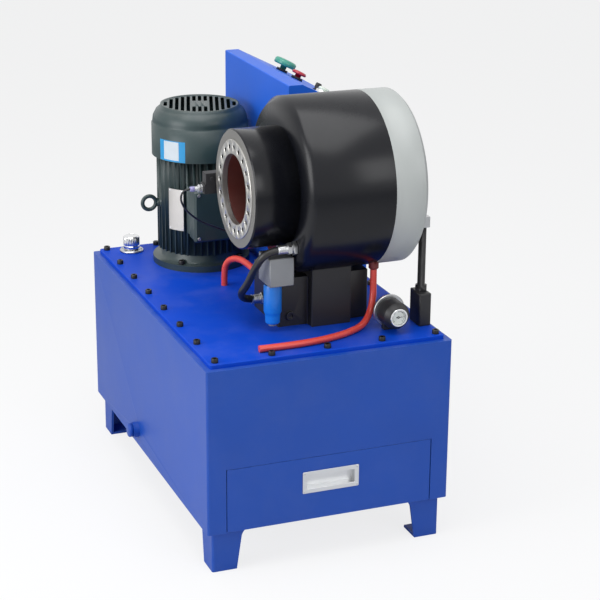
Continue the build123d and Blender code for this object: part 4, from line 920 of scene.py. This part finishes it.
sensor_low, sensor_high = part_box("proximity_sensor")
sensor = middle("proximity_sensor")
sensor_at = (sensor_low.x, sensor.y, sensor.z)
thread_pitch, thread_end = 0.001, sensor_high.x - sensor_low.x - 0.003
threads = [(0.0, 0.0), (0.0042, 0.0), (0.0052, 0.002), (0.0052, 0.010), (0.0057, 0.0105)]
crest = 0.011
while crest < thread_end:
    threads += [(0.0060, crest), (0.0056, crest + thread_pitch / 2)]
    crest += thread_pitch
threads += [(0.0057, crest), (0.0052, crest + 0.001), (0, crest + 0.001)]
piece("sensor_barrel", [turned_solid(threads, sensor_at, inward, sides=32)], zinc_steel,
      replaces=["proximity_sensor"])
tail = [(0.0030, -0.0005), (0.0056, 0.0003), (0.0063, 0.002), (0.0063, 0.0095), (0.0061, 0.0102),
        (0.0053, 0.0102), (0.0053, 0.0012)]
piece("sensor_tail", [turned_ring(tail, sensor_at, inward, sides=32)], tail_violet)
clamp_low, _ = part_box("sensor_bracket")
thin_nut = [(0.0062, 0), (0.0080, 0), (0.0085, 0.0008, 6), (0.0085, 0.0036, 6), (0.0080, 0.0044),
            (0.0062, 0.0044)]
nuts = [turned_solid(thin_nut, (clamp_low.x - shift, sensor.y, sensor.z), inward, sides=36)
        for shift in (0.0048, 0.0118)]
piece("sensor_nuts", nuts, zinc_steel)

# ---------------------------------------------------------------- lamp rim and selector knob

panel_slope = math.radians(27)
panel_out = Vector((math.sin(panel_slope), 0, math.cos(panel_slope)))
lamp = middle("pilot_lamp")
lamp_half_height, knob_y = 0.0105, 0.062
button_row = lamp - panel_out * lamp_half_height
lamp_foot, knob_foot = button_row, Vector((button_row.x, knob_y, button_row.z))
lamp_ring = [(0.0142, 0.0), (0.0172, 0.0), (0.0172, 0.0066), (0.0162, 0.0082), (0.0142, 0.0086)]
piece("lamp_rim", [turned_ring(lamp_ring, lamp_foot, panel_out)], chrome)
knob = [(0.0, 0.0), (0.0095, 0.0), (0.0095, 0.003), (0.0065, 0.0035), (0.0065, 0.007), (0.0078, 0.0075),
        (0.0074, 0.018), (0.0062, 0.0195), (0.0, 0.0198)]
piece("selector_knob", [turned_solid(knob, knob_foot, panel_out, sides=40)], black_plastic)

# ---------------------------------------------------------------- drawer pull screws, cover screws

pull_low, pull_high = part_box("drawer_pull")
pull_inset, cover_inset, cover_sink = 0.0045, 0.012, 0.0002
pull_screw = [(0.0024, -0.001), (0.0024, 0.0004), (0.0018, 0.0009), (0, 0.0011)]
pull_screws = [turned_solid(pull_screw, (x, pull_low.y, z), forward, sides=20)
               for x in (pull_low.x + pull_inset, pull_high.x - pull_inset)
               for z in (pull_low.z + pull_inset, pull_high.z - pull_inset)]
piece("pull_screws", pull_screws, zinc_steel, body="drawer")
cover_low, cover_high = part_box("cabinet_cover")
cover_screws = [socket_screw((cover_high.x - cover_sink, y, z), inward, 0.0045, 0.003, 0.002, 0.004)
                for y in (cover_low.y + cover_inset, (cover_low.y + cover_high.y) / 2,
                          cover_high.y - cover_inset)
                for z in (cover_low.z + cover_inset, cover_high.z - cover_inset)]
piece("cover_screws", cover_screws, zinc_steel)

# ---------------------------------------------------------------- hose fittings

port, inlet = Vector(pressure_route[0]), Vector(pressure_route[-1])
barrel_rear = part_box("head_barrel")[0].x
head_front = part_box("front_flange")[1].x
block_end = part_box("fittings")[1].x
block_length, block_half, block_y, block_z = 0.0935, 0.013, -0.358, plate_top + 0.249

fitting_shapes = [
    fitting_nut((barrel_rear, port.y, port.z), rearward, 0.030, 0.0099),
    turned_solid([(0.0105, 0.0095), (0.0105, 0.0125)], (barrel_rear, port.y, port.z), rearward),
    fitting_nut((barrel_rear - 0.0121, port.y, port.z), rearward, 0.026, 0.0099),
    fitting_nut((inlet.x + 0.022, inlet.y, inlet.z), rearward, 0.030, 0.011),
    fitting_nut((inlet.x + 0.011, inlet.y, inlet.z), rearward, 0.026, 0.011),
    rounded_plate((block_end - block_length, block_y - block_half, block_z - block_half),
                  (block_end, block_y + block_half, block_z + block_half), 0.002),
    turned_solid([(0.011, 0), (0.011, 0.0030)], (head_front, block_y, block_z), inward)]
piece("hydraulic_fittings", fitting_shapes, zinc_steel, replaces=["fittings"])
ferrules = [ferrule((end.x + 0.001, end.y, end.z), rearward) for end in (port, inlet)]
piece("hose_ferrules", ferrules, zinc_steel)
